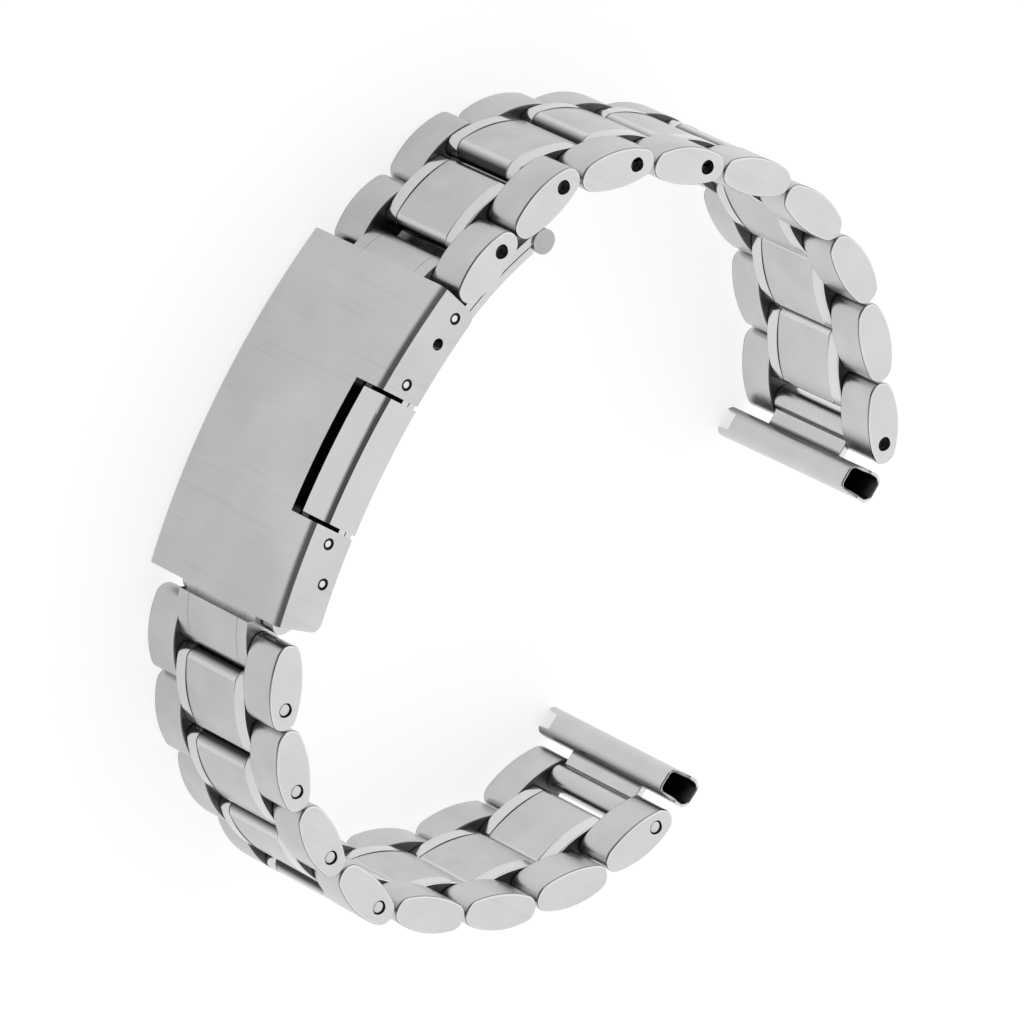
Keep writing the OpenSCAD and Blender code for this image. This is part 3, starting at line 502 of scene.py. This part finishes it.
def make_piece(name, parts, place, materials, body, replaced, creases=None):
    """One mesh object from shells in a row's own axes, put into the frame by place.

    place is (origin, along, out): x runs along, y out and z up the width. The Grain coordinates,
    in millimetres, are x and z on the bands and x and y on the flat sides. creases marks the
    columns of an outline along which the surface is folded.
    """
    origin, along, out = place
    flip = along[0] * out[1] - along[1] * out[0] < 0
    verts, faces, kinds, grain = [], [], [], []
    start = 0
    folded = []
    for v, quads, fans, kind, n in parts:
        if creases is not None and len(creases) == n:
            rows = len(v) // n
            folded.append(np.concatenate([np.tile(creases, rows),
                                          np.zeros(len(v) - rows * n, bool)]))
        else:
            folded.append(np.zeros(len(v), bool))
        q, f = (quads[:, ::-1], fans[:, ::-1]) if flip else (quads, fans)
        verts.append(v)
        for block in (q, f):
            if not len(block):
                continue
            corner = v[block]
            flat = np.ptp(corner[..., 2], axis=1) < LEVEL
            run = np.where(flat[:, None], corner[..., 1], corner[..., 2])
            grain.append(np.stack([corner[..., 0], run], -1).reshape(-1, 2))
            faces += (block + start).tolist()
        kinds.append(kind)
        start += len(v)
    v = np.concatenate(verts)
    xy = origin[None] + v[:, :1] * along[None] + v[:, 1:2] * out[None]
    world = np.column_stack([xy, v[:, 2] + MID_Z])
    mesh = bpy.data.meshes.new(name)
    mesh.from_pydata(world.tolist(), [], faces)
    for m in materials:
        mesh.materials.append(m)
    mesh.polygons.foreach_set("material_index", np.concatenate(kinds).astype(np.int32))
    layer = mesh.uv_layers.new(name="Grain")
    layer.data.foreach_set("uv", (np.concatenate(grain) / MM).astype(np.float32).ravel())
    mesh.shade_smooth()
    mesh.set_sharp_from_angle(angle=SHARP)
    folded = np.concatenate(folded)
    if folded.any():
        pairs = np.empty(len(mesh.edges) * 2, np.int32)
        mesh.edges.foreach_get("vertices", pairs)
        sharp = np.empty(len(mesh.edges), bool)
        mesh.edges.foreach_get("use_edge_sharp", sharp)
        sharp |= folded[pairs.reshape(-1, 2)].all(1)
        mesh.edges.foreach_set("use_edge_sharp", sharp)
    mesh.validate()
    mesh.update()
    obj = bpy.data.objects.new(name, mesh)
    bpy.context.scene.collection.objects.link(obj)
    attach(obj, body)
    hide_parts(*replaced)


def row_place(half, number):
    """Origin, direction and outward normal of a row, worked out from the joints at its pins."""
    links = bpy.context.scene.bracelet_links
    nxt = "%s_row_%d_bend" % (half, number + 1)
    own = np.array(JOINTS[nxt if nxt in JOINTS else half + "_sleeve_turn"]["pos_m"][:2])
    if number == 1:
        a = links.first_upper_tilt if half == "upper" else links.first_lower_tilt
        along = np.array([math.cos(a), math.sin(a)])
    else:
        along = own - np.array(JOINTS["%s_row_%d_bend" % (half, number)]["pos_m"][:2])
        along /= np.linalg.norm(along)
    side = 1 if half == "upper" else -1
    out = side * np.array([-along[1], along[0]])
    return own - links.pitch * along, along, out


# Finishes

# The streaks' length in streak pitches, and the range in which most of a noise texture lies
STREAK_LENGTH = 60
NOISE = (0.3, 0.7)
STREAK_NOISE = (0.25, 0.75)
# Hairlines: their turns in radians with the noise's cells to the metre along them, how many
# times longer than wide a cell is, and the part of the noise in which they show
HAIRLINES = ((0.6, 60.0), (-0.9, 110.0))
HAIRLINE_STRETCH = 30
HAIRLINE_NOISE = (0.7, 0.78)
# A pit's face: how exact its height is, the normals that count as upward, and its painted shade
PIT_HEIGHT = 0.03 * MM
PIT_FACING = (0.8, 0.9)
PIT_SHADE = 0.08
# Distances from the middle plane at which the clasp's finishes change
COVER_WALL = 9.49 * MM
BUTTON_FACE = 10.1 * MM
BLADE_EDGE = 7.5 * MM
PIN_FACE = 9.3 * MM
CUT_OUT_DEPTH = 6.2 * MM
# Painted shade where finishes fade towards the dark gaps: millimetres along the row, share of
# the colour
LINK_END_SHADE = ((3.2, 1.0), (3.55, 1.0), (3.72, 0.7), (3.84, 0.35), (3.93, 0.06))
SLEEVE_VALLEY_SHADE = ((2.3, 1.0), (2.6, 0.15), (2.8, 0.15), (3.3, 0.85), (3.6, 1.0))
FIRST_LINK_SHADE = ((4.2, 1.0), (5.0, 0.6), (5.5, 0.02))


def feed(tree, socket, value):
    """Links the value to the socket, or sets it there if it is a number."""
    if isinstance(value, bpy.types.NodeSocket):
        tree.links.new(value, socket)
    else:
        socket.default_value = value


def maths(tree, operation, *values):
    """Result of a Math node on numbers or other nodes' outputs."""
    m = tree.nodes.new("ShaderNodeMath")
    m.operation = operation
    for socket, value in zip(m.inputs, values):
        feed(tree, socket, value)
    return m.outputs[0]


def vector_maths(tree, operation, vector, other=None):
    """The value of a Vector Math node, such as a length or the dot product with other."""
    m = tree.nodes.new("ShaderNodeVectorMath")
    m.operation = operation
    tree.links.new(vector, m.inputs[0])
    if other:
        m.inputs[1].default_value = other
    return m.outputs["Value"]


def axes(tree, vector):
    """The vector's X, Y and Z."""
    n = tree.nodes.new("ShaderNodeSeparateXYZ")
    tree.links.new(vector, n.inputs[0])
    return n.outputs


def grain_uv(tree):
    """The piece's own Grain coordinates."""
    n = tree.nodes.new("ShaderNodeUVMap")
    n.uv_map = "Grain"
    return n.outputs["UV"]


def noise(tree, vector, scale, detail, rough=0.5):
    """A noise texture on the given vector."""
    n = tree.nodes.new("ShaderNodeTexNoise")
    n.inputs["Scale"].default_value = scale
    n.inputs["Detail"].default_value = detail
    n.inputs["Roughness"].default_value = rough
    tree.links.new(vector, n.inputs["Vector"])
    return n.outputs["Fac"]


def scaled(tree, vector, scale, turn=(0, 0, 0)):
    """The vector multiplied axis by axis, then turned."""
    m = tree.nodes.new("ShaderNodeMapping")
    m.inputs["Scale"].default_value = scale
    m.inputs["Rotation"].default_value = turn
    tree.links.new(vector, m.inputs["Vector"])
    return m.outputs["Vector"]


def ranged(tree, value, low, high, to_low, to_high):
    """The value carried from one range to another and kept inside it."""
    m = tree.nodes.new("ShaderNodeMapRange")
    for k, x in zip(("From Min", "From Max", "To Min", "To Max"), (low, high, to_low, to_high)):
        m.inputs[k].default_value = x
    tree.links.new(value, m.inputs["Value"])
    return m.outputs["Result"]


def faded(tree, value, stops):
    """A share between 0 and 1, read off straight lines through stops of (value, share)."""
    first, last = stops[0][0], stops[-1][0]
    ramp = tree.nodes.new("ShaderNodeValToRGB")
    band = ramp.color_ramp.elements
    for k, (x, share) in enumerate(stops):
        at = (x - first) / (last - first)
        if k == 0:
            stop = band[0]
        elif k == len(stops) - 1:
            stop = band[len(band) - 1]
        else:
            stop = band.new(at)
        stop.position = at
        stop.color = (share, share, share, 1)
    tree.links.new(ranged(tree, value, first, last, 0, 1), ramp.inputs["Fac"])
    return ramp.outputs["Color"]


def along_row(tree, spot, place):
    """Millimetres along the row: the Grain coordinate, its distance from the number place, or the
    distance from the origin of place = (origin, along) in the direction along."""
    if place is None:
        return axes(tree, grain_uv(tree))["X"]
    if isinstance(place, float):
        shift = maths(tree, "SUBTRACT", axes(tree, grain_uv(tree))["X"], place)
        return maths(tree, "ABSOLUTE", shift)
    origin, along = place
    dot = vector_maths(tree, "DOT_PRODUCT", spot, (along[0] / MM, along[1] / MM, 0))
    return maths(tree, "SUBTRACT", dot, float(np.dot(origin, along)) / MM)


def steel(name, colour, roughness, streak, cloud=0.035, rough_spread=0.05, axis="uv", bump=0.0,
          wall=None, cloud_scale=260.0, scratches=0.0, fade=None, place=None, pit=None):
    """Steel with fine streaks along the grain and a faint cloudiness, in the given colour.

    The grain runs along the piece's own Grain coordinates, or for axis "z" or "x" along that
    axis of the frame. streak and cloud are the shares by which they lighten and darken it, and
    rough_spread is how far the streaks change the roughness. wall is (distance, colour): beyond
    that distance from the middle plane the steel has that colour. scratches is the share by
    which scattered hairlines darken it. fade lists (position, share) stops of painted shade that
    darken it along the row towards the dark gaps; along_row says what place does. pit is the
    height of the level face at the bottom of a cut-out, which is painted nearly black as shade.
    """
    mat = bpy.data.materials.new(name)
    mat.use_nodes = True
    tree = mat.node_tree
    shader = tree.nodes["Principled BSDF"]
    shader.inputs["Metallic"].default_value = 1.0
    coord = tree.nodes.new("ShaderNodeTexCoord")
    spot = coord.outputs["Object"]
    across = 1 / (bpy.context.scene.bracelet_finish.streak_pitch / MM)
    if axis == "uv":
        vector = scaled(tree, grain_uv(tree), (across / STREAK_LENGTH, across, 1))
    else:
        fine, slow = across / MM, across / STREAK_LENGTH / MM
        vector = scaled(tree, spot, (fine, fine, slow) if axis == "z" else (slow, slow, fine))
    lines = noise(tree, vector, 1.0, 3.0, 0.6)
    clouds = noise(tree, spot, cloud_scale, 2.0)
    tone = maths(tree, "MULTIPLY", ranged(tree, lines, *NOISE, 1 - streak, 1 + streak),
                 ranged(tree, clouds, *NOISE, 1 - cloud, 1 + cloud))
    if fade:
        # Painted shade that darkens the steel along the row towards the dark gaps
        tone = maths(tree, "MULTIPLY", tone, faded(tree, along_row(tree, spot, place), fade))
    if pit:
        # Painted shade: the level face at the bottom of the cut-out is darkened nearly to black
        level = maths(tree, "COMPARE", axes(tree, spot)["Z"], pit, PIT_HEIGHT)
        up = ranged(tree, axes(tree, coord.outputs["Normal"])["Z"], *PIT_FACING, 0, 1)
        shade = ranged(tree, maths(tree, "MULTIPLY", level, up), 0, 1, 1.0, PIT_SHADE)
        tone = maths(tree, "MULTIPLY", tone, shade)
    if scratches:
        for turn, size in HAIRLINES:
            tilted = scaled(tree, spot, (size * HAIRLINE_STRETCH, size, size),
                            (turn, turn * 0.7, turn))
            hair = noise(tree, tilted, 1.0, 0.0)
            tone = maths(tree, "MULTIPLY", tone,
                         ranged(tree, hair, *HAIRLINE_NOISE, 1.0, 1 - scratches))
    mix = tree.nodes.new("ShaderNodeVectorMath")
    mix.operation = "SCALE"
    mix.inputs[0].default_value = tuple(colour)
    if wall:
        distance, beyond = wall
        pick = tree.nodes.new("ShaderNodeMix")
        pick.data_type = "VECTOR"
        near = maths(tree, "COMPARE", axes(tree, spot)["Z"], MID_Z, distance)
        tree.links.new(near, pick.inputs["Factor"])
        # Inputs 4 and 5 and output 1 are the ones that a Mix node has for vectors
        pick.inputs[4].default_value = tuple(beyond)
        pick.inputs[5].default_value = tuple(colour)
        tree.links.new(pick.outputs[1], mix.inputs[0])
    tree.links.new(tone, mix.inputs["Scale"])
    tree.links.new(mix.outputs["Vector"], shader.inputs["Base Color"])
    tree.links.new(ranged(tree, lines, *STREAK_NOISE, roughness - rough_spread,
                          roughness + rough_spread), shader.inputs["Roughness"])
    if bump:
        b = tree.nodes.new("ShaderNodeBump")
        b.inputs["Strength"].default_value = bump
        b.inputs["Distance"].default_value = 0.01 * MM
        tree.links.new(lines, b.inputs["Height"])
        tree.links.new(b.outputs["Normal"], shader.inputs["Normal"])
    return mat


def finishes(*names):
    """The named ones of the finishes that the pieces share, all made at the first call."""
    f = bpy.context.scene.bracelet_finish
    middle = bpy.context.scene.bracelet_links.pitch / 4 / MM
    if "Brushed steel" not in bpy.data.materials:
        steel("Brushed steel", f.brushed, 0.3, 0.03, 0.06, bump=0.12)
        steel("Satin side", f.satin, 0.3, 0.02, 0.03, scratches=0.03)
        # Polished round ends, darkened by painted shade towards the gap between links
        steel("Polished end", f.polished, 0.25, 0.015, 0.03, 0.03, place=middle,
              fade=LINK_END_SHADE)
        steel("Polished steel", f.polished, 0.16, 0.012, 0.02, 0.02)
        steel("Polished edge", f.polished, 0.12, 0.01, 0.02, 0.02)
        # Painted dark reflection along the two bands beside a plate's rounded edge
        steel("Edge line", f.line, 0.3, 0.02)
        # Painted shade for faces that look into gaps, holes and hollows
        steel("Shaded steel", f.shaded, 0.4, 0.05)
        steel("Pin end", f.satin, 0.34, 0.08, 0.1, axis="z")
        # Satin sleeve, darkened with painted shade in the valley between tube and tongue
        steel("Satin sleeve", f.satin, 0.26, 0.03, axis="z", fade=SLEEVE_VALLEY_SHADE)
        steel("Sheet edge", f.polished, 0.25, 0.03, axis="z")
    return [bpy.data.materials[name] for name in names]


# Operators

class BRACELET_OT_link_plates(bpy.types.Operator):
    """Outer plates of every row, with round edges and open pin holes"""
    bl_idname = "bracelet.link_plates"
    bl_label = "Outer plates"

    def execute(self, context):
        s = context.scene.bracelet_links
        used = finishes("Brushed steel", "Satin side", "Polished edge", "Shaded steel",
                        "Edge line")
        half_row = (s.pitch - s.end_gap) / 2
        pin = np.array([s.pitch, 0.0])
        # Two bands beside the rounded edge get a painted dark reflection; the inner band, the inner side and the
        # hole walls get painted shade
        slots = [EDGE] * 3 + [EDGE_REFLECTION] * 2 + [FACE] * 3 + [SHADE] * 7
        for half, rows in ROWS.items():
            for number in rows:
                name = "%s_row_%d" % (half, number)
                trim = s.first_trim if name == "upper_row_1" else 0.0
                points, normals, _, _ = cushion(half_row - trim / 2, s.crown_out, s.crown_in,
                                                s.end_radius)
                points = points + [s.pitch * 0.75 + trim / 2, 0]
                top = edge_rings(points, normals, s.plate_outside, s.plate_edge, 1)
                low = edge_rings(points, normals, s.plate_inside, s.plate_edge * 0.6, -1)[::-1]
                holed = number not in CLOSED_ROWS[half]
                if holed:
                    hole = hole_rings(top[0, :, :2], pin, s.hole_radius, s.plate_outside, 1,
                                      s.hole_chamfer)
                    back = hole_rings(low[-1, :, :2], pin, s.hole_radius, s.plate_inside, -1,
                                      s.hole_chamfer)[::-1]
                    part = shell(np.concatenate([hole, top, low, back]),
                                 np.array([EDGE] + [SIDE] * 2 + slots + [SHADE] * 2), around=True)
                else:
                    part = shell(np.concatenate([top, low]), np.array([SIDE] * 2 + slots))
                parts = [part, mirrored(part)]
                if not holed:
                    # The closed-in pin between the plates gets painted shade
                    parts.append(rod(s.pitch, s.closed_pin_radius, -s.closed_pin_half,
                                     s.closed_pin_half, SHADE))
                make_piece(name + "_outer_plates", parts, row_place(half, number), used, name,
                           [name + "_plates"])
        return {"FINISHED"}


class BRACELET_OT_centre_links(bpy.types.Operator):
    """Centre links with the polished strip at each side"""
    bl_idname = "bracelet.centre_links"
    bl_label = "Centre links"

    def execute(self, context):
        s = context.scene.bracelet_links
        used = finishes("Brushed steel", "Polished steel", "Polished edge", "Shaded steel",
                        "Polished end")
        half_row = (s.pitch - s.centre_gap) / 2
        middle = s.strip_inside - s.seam
        pin = np.zeros(2)
        shapes = []
        for low, high, face, lower in ((-middle, middle, FACE, s.middle_drop),
                                       (s.strip_inside, s.strip_outside, STRIP, 0.0)):
            points, normals, ends, folds = cushion(half_row, s.crown_out - s.centre_drop - lower,
                                                   s.crown_in - lower, s.end_radius, s.crease)
            points = points + [s.pitch / 4, 0]
            edge = s.strip_edge if face == STRIP else s.strip_edge / 2
            inner = s.seam if face == STRIP else edge
            top = edge_rings(points, normals, high, edge, 1, 4)
            under = edge_rings(points, normals, low, inner, -1, 4)[::-1]
            hole = hole_rings(top[0, :, :2], pin, s.centre_hole, high, 1, s.centre_chamfer)
            back = hole_rings(under[-1, :, :2], pin, s.centre_hole, low, -1,
                              s.centre_chamfer)[::-1]
            # Hole walls, undersides and the strips' inner edges at the seams get painted shade
            slots = [SHADE] * 3 + [EDGE] * 4 + [face] * 3
            slots += [SHADE if face == STRIP else EDGE] * 4 + [SHADE] * 4
            part = shell(np.concatenate([hole, top, under, back]), np.array(slots), around=True)
            # The round ends get the polished finish that fades with painted shade towards the gap
            shapes.append(ends_of(part, ends, FACE, END))
        parts = shapes + [mirrored(shapes[1])]
        for half, rows in ROWS.items():
            for number in rows[1:]:
                name = "%s_row_%d" % (half, number)
                make_piece(name + "_centre_link", parts, row_place(half, number), used, name,
                           [name + "_centre"], folds)
        return {"FINISHED"}


class BRACELET_OT_link_pins(bpy.types.Operator):
    """Removable pins with slightly domed ends in the lower rows"""
    bl_idname = "bracelet.link_pins"
    bl_label = "Link pins"

    def execute(self, context):
        s = context.scene.bracelet_links
        used = finishes("Pin end", "Shaded steel")
        pin = domed_pin(s.pitch, s.split_pin_radius, s.split_pin_half, s.split_pin_dome)
        for number in ROWS["lower"]:
            if number not in CLOSED_ROWS["lower"]:
                name = "lower_row_%d" % number
                make_piece(name + "_link_pin", [pin], row_place("lower", number), used, name,
                           [name + "_split_pin"])
        return {"FINISHED"}


class BRACELET_OT_sleeves(bpy.types.Operator):
    """End sleeves, folded from sheet: tube, tongue and the loop around the last pin"""
    bl_idname = "bracelet.sleeves"
    bl_label = "End sleeves"

    def execute(self, context):
        s = context.scene.bracelet_sleeves
        used = finishes("Satin sleeve", "Sheet edge", "Shaded steel")
        parts = [sleeve_tube(s), sleeve_tongue(s)]
        for half in ROWS:
            make_piece("sleeve_" + half, parts, sleeve_place(half), used,
                       half + "_sleeve", ["end_sleeve_" + half])
        return {"FINISHED"}


class BRACELET_OT_clasp(bpy.types.Operator):
    """Finishes of the clasp cover, the button, the blades and the pins"""
    bl_idname = "bracelet.clasp"
    bl_label = "Clasp and pins"

    def execute(self, context):
        f = context.scene.bracelet_finish
        blade = steel("Satin blade", f.satin, 0.3, 0.03, axis="x", wall=(BLADE_EDGE, f.dull))
        # Rivets and pins: polished faces, with painted shade below them
        rivet = steel("Rivet steel", f.rivet_wall_shade, 0.35, 0.02, 0.02, axis="z",
                      wall=(PIN_FACE, f.polished))
        looks = {
            # Brushed cover with satin walls; the cut-out's floor gets painted shade
            "clasp_cover": steel("Brushed cover", f.cover, 0.3, 0.03, 0.07, axis="z", bump=0.1,
                                 wall=(COVER_WALL, f.cover_wall), cloud_scale=120.0,
                                 scratches=0.04, pit=MID_Z + CUT_OUT_DEPTH),
            "lower_row_1_centre": steel("Brushed link", f.brushed, 0.3, 0.03, axis="x"),
            # The first upper centre link darkens along the row to nearly black with painted shade
            "upper_row_1_centre": steel("First centre steel", f.brushed, 0.32, 0.03, axis="z",
                                        place=row_place("upper", 1)[:2], fade=FIRST_LINK_SHADE),
            "push_button": steel("Polished button", f.button, 0.1, 0.01, 0.02, 0.02, axis="z",
                                 wall=(BUTTON_FACE, f.button_face)),
            # The button frame in the cut-out gets the painted shade colour
            "button_frame": steel("Frame steel", f.shaded, 0.35, 0.03, axis="x"),
            "button_springs": steel("Spring steel", f.spring, 0.3, 0.02, axis="z"),
            "fold_hinge_pin": steel("Barrel steel", f.dull, 0.3, 0.04, axis="z"),
            "centre_blade": blade,
            "inner_blade": blade,
            "frame_rivets": rivet,
            "cover_hinge_pin": rivet,
            "adjust_spring_bar": rivet,
        }
        pin = steel("Pin steel", f.satin, 0.25, 0.02, 0.02, axis="z")
        for name, obj in frame["nodes"].items():
            if not obj.hide_render:
                obj.data.materials.clear()
                obj.data.materials.append(looks.get(name, pin))
        return {"FINISHED"}


# The stage: (from, to, share there, share there) for the floor's mirrored glow, over the
# distance from the middle and over y in metres, and for the world around a dark direction
GLOW_FALL = (0.06, 0.25, 1.0, 0.1)
GLOW_FRONT = (-0.02, 0.03, 1.2, 1.0)
DARK_LOBE = (0.5, 0.9, 1.0, 0.1)
DARK_TOWARDS = (0.0, 0.848, 0.53)
LAMP_PLACE = (0.3, -0.7, 0.9)
# The camera that the photograph was taken with, as worked out from the link pins
CAMERA_PLACE = (-0.00254892, 0.59325165, 0.65904044)
CAMERA_TURN = ((0.44379319, 0.89612461, -0.00288046),
               (-0.66091529, 0.32947639, 0.67426722),
               (0.60517649, -0.29733146, 0.73848183))


def floor_finish(s):
    """Pale floor that glows for the camera and, fading outwards, for the steel that mirrors it."""
    mat = bpy.data.materials.new("Pale floor")
    mat.use_nodes = True
    tree = mat.node_tree
    tree.nodes.clear()
    out = tree.nodes.new("ShaderNodeOutputMaterial")
    diffuse = tree.nodes.new("ShaderNodeBsdfDiffuse")
    diffuse.inputs["Color"].default_value = (s.floor_grey, s.floor_grey, s.floor_grey, 1)
    glow = tree.nodes.new("ShaderNodeEmission")
    glow.inputs["Color"].default_value = (1, 1, 1, 1)
    path = tree.nodes.new("ShaderNodeLightPath").outputs
    spot = tree.nodes.new("ShaderNodeTexCoord").outputs["Object"]
    fall = maths(tree, "MULTIPLY",
                 ranged(tree, vector_maths(tree, "LENGTH", spot), *GLOW_FALL),
                 ranged(tree, axes(tree, spot)["Y"], *GLOW_FRONT))
    seen = maths(tree, "MULTIPLY", path["Is Camera Ray"], s.floor_glow)
    mirrored_glow = maths(tree, "MULTIPLY", path["Is Glossy Ray"], s.mirror_glow)
    mirrored_glow = maths(tree, "MULTIPLY", mirrored_glow, fall)
    tree.links.new(maths(tree, "ADD", seen, mirrored_glow), glow.inputs["Strength"])
    both = tree.nodes.new("ShaderNodeAddShader")
    tree.links.new(diffuse.outputs[0], both.inputs[0])
    tree.links.new(glow.outputs[0], both.inputs[1])
    tree.links.new(both.outputs[0], out.inputs["Surface"])
    return mat


def soft_world():
    """White world with a dark lobe in one direction, which the camera itself doesn't see."""
    world = bpy.data.worlds.new("Soft studio")
    world.use_nodes = True
    tree = world.node_tree
    back = tree.nodes["Background"]
    back.inputs["Color"].default_value = (1, 1, 1, 1)
    coord = tree.nodes.new("ShaderNodeTexCoord")
    toward = vector_maths(tree, "DOT_PRODUCT", coord.outputs["Generated"], DARK_TOWARDS)
    path = tree.nodes.new("ShaderNodeLightPath")
    pick = tree.nodes.new("ShaderNodeMix")
    pick.data_type = "FLOAT"
    tree.links.new(path.outputs["Is Camera Ray"], pick.inputs[0])
    tree.links.new(ranged(tree, toward, *DARK_LOBE), pick.inputs[2])
    pick.inputs[3].default_value = 1.0
    tree.links.new(pick.outputs[0], back.inputs["Strength"])
    return world


class BRACELET_OT_stage(bpy.types.Operator):
    """Pale floor, soft light and the camera"""
    bl_idname = "bracelet.stage"
    bl_label = "Stage"

    def execute(self, context):
        scene = context.scene
        s = scene.bracelet_stage
        h = s.floor_size / 2
        mesh = bpy.data.meshes.new("floor")
        mesh.from_pydata([(-h, -h, 0), (h, -h, 0), (h, h, 0), (-h, h, 0)], [], [(0, 1, 2, 3)])
        mesh.materials.append(floor_finish(s))
        floor = bpy.data.objects.new("floor", mesh)
        scene.collection.objects.link(floor)
        scene.world = soft_world()

        lamp = bpy.data.lights.new("Soft lamp", "AREA")
        lamp.size = s.lamp_size
        lamp.energy = s.lamp_power
        lamp_obj = bpy.data.objects.new("Soft lamp", lamp)
        scene.collection.objects.link(lamp_obj)
        at = Vector(LAMP_PLACE)
        lamp_obj.location = at
        lamp_obj.rotation_euler = (-at).to_track_quat("-Z", "Y").to_euler()

        cam = bpy.data.cameras.new("Camera")
        cam.lens = s.lens
        cam.sensor_width = 36
        cam.clip_start, cam.clip_end = 0.05, 10
        cam_obj = bpy.data.objects.new("Camera", cam)
        scene.collection.objects.link(cam_obj)
        cam_obj.matrix_world = Matrix.Translation(CAMERA_PLACE) @ Matrix(CAMERA_TURN).to_4x4()
        scene.camera = cam_obj
        scene.view_settings.view_transform = "Standard"
        return {"FINISHED"}


class BRACELET_PT_panel(bpy.types.Panel):
    """Lists the steps in the 3D view's sidebar"""
    bl_idname = "BRACELET_PT_panel"
    bl_label = "Bracelet"
    bl_space_type = "VIEW_3D"
    bl_region_type = "UI"
    bl_category = "Bracelet"

    def draw(self, context):
        for step in STEPS:
            self.layout.operator(step.bl_idname)


STEPS = (BRACELET_OT_link_plates, BRACELET_OT_centre_links, BRACELET_OT_link_pins,
         BRACELET_OT_sleeves, BRACELET_OT_clasp, BRACELET_OT_stage)
GROUPS = (("bracelet_links", BraceletLinkSettings), ("bracelet_sleeves", BraceletSleeveSettings),
          ("bracelet_finish", BraceletFinishSettings),
          ("bracelet_stage", BraceletStageSettings))


def register():
    for name, group in GROUPS:
        bpy.utils.register_class(group)
        setattr(bpy.types.Scene, name, bpy.props.PointerProperty(type=group))
    for cls in STEPS + (BRACELET_PT_panel,):
        bpy.utils.register_class(cls)


def unregister():
    for cls in (BRACELET_PT_panel,) + STEPS[::-1]:
        bpy.utils.unregister_class(cls)
    for name, group in GROUPS[::-1]:
        delattr(bpy.types.Scene, name)
        bpy.utils.unregister_class(group)


def main():
    """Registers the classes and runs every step."""
    register()
    bpy.ops.bracelet.link_plates()
    bpy.ops.bracelet.centre_links()
    bpy.ops.bracelet.link_pins()
    bpy.ops.bracelet.sleeves()
    bpy.ops.bracelet.clasp()
    bpy.ops.bracelet.stage()


if __name__ == "__main__":
    main()
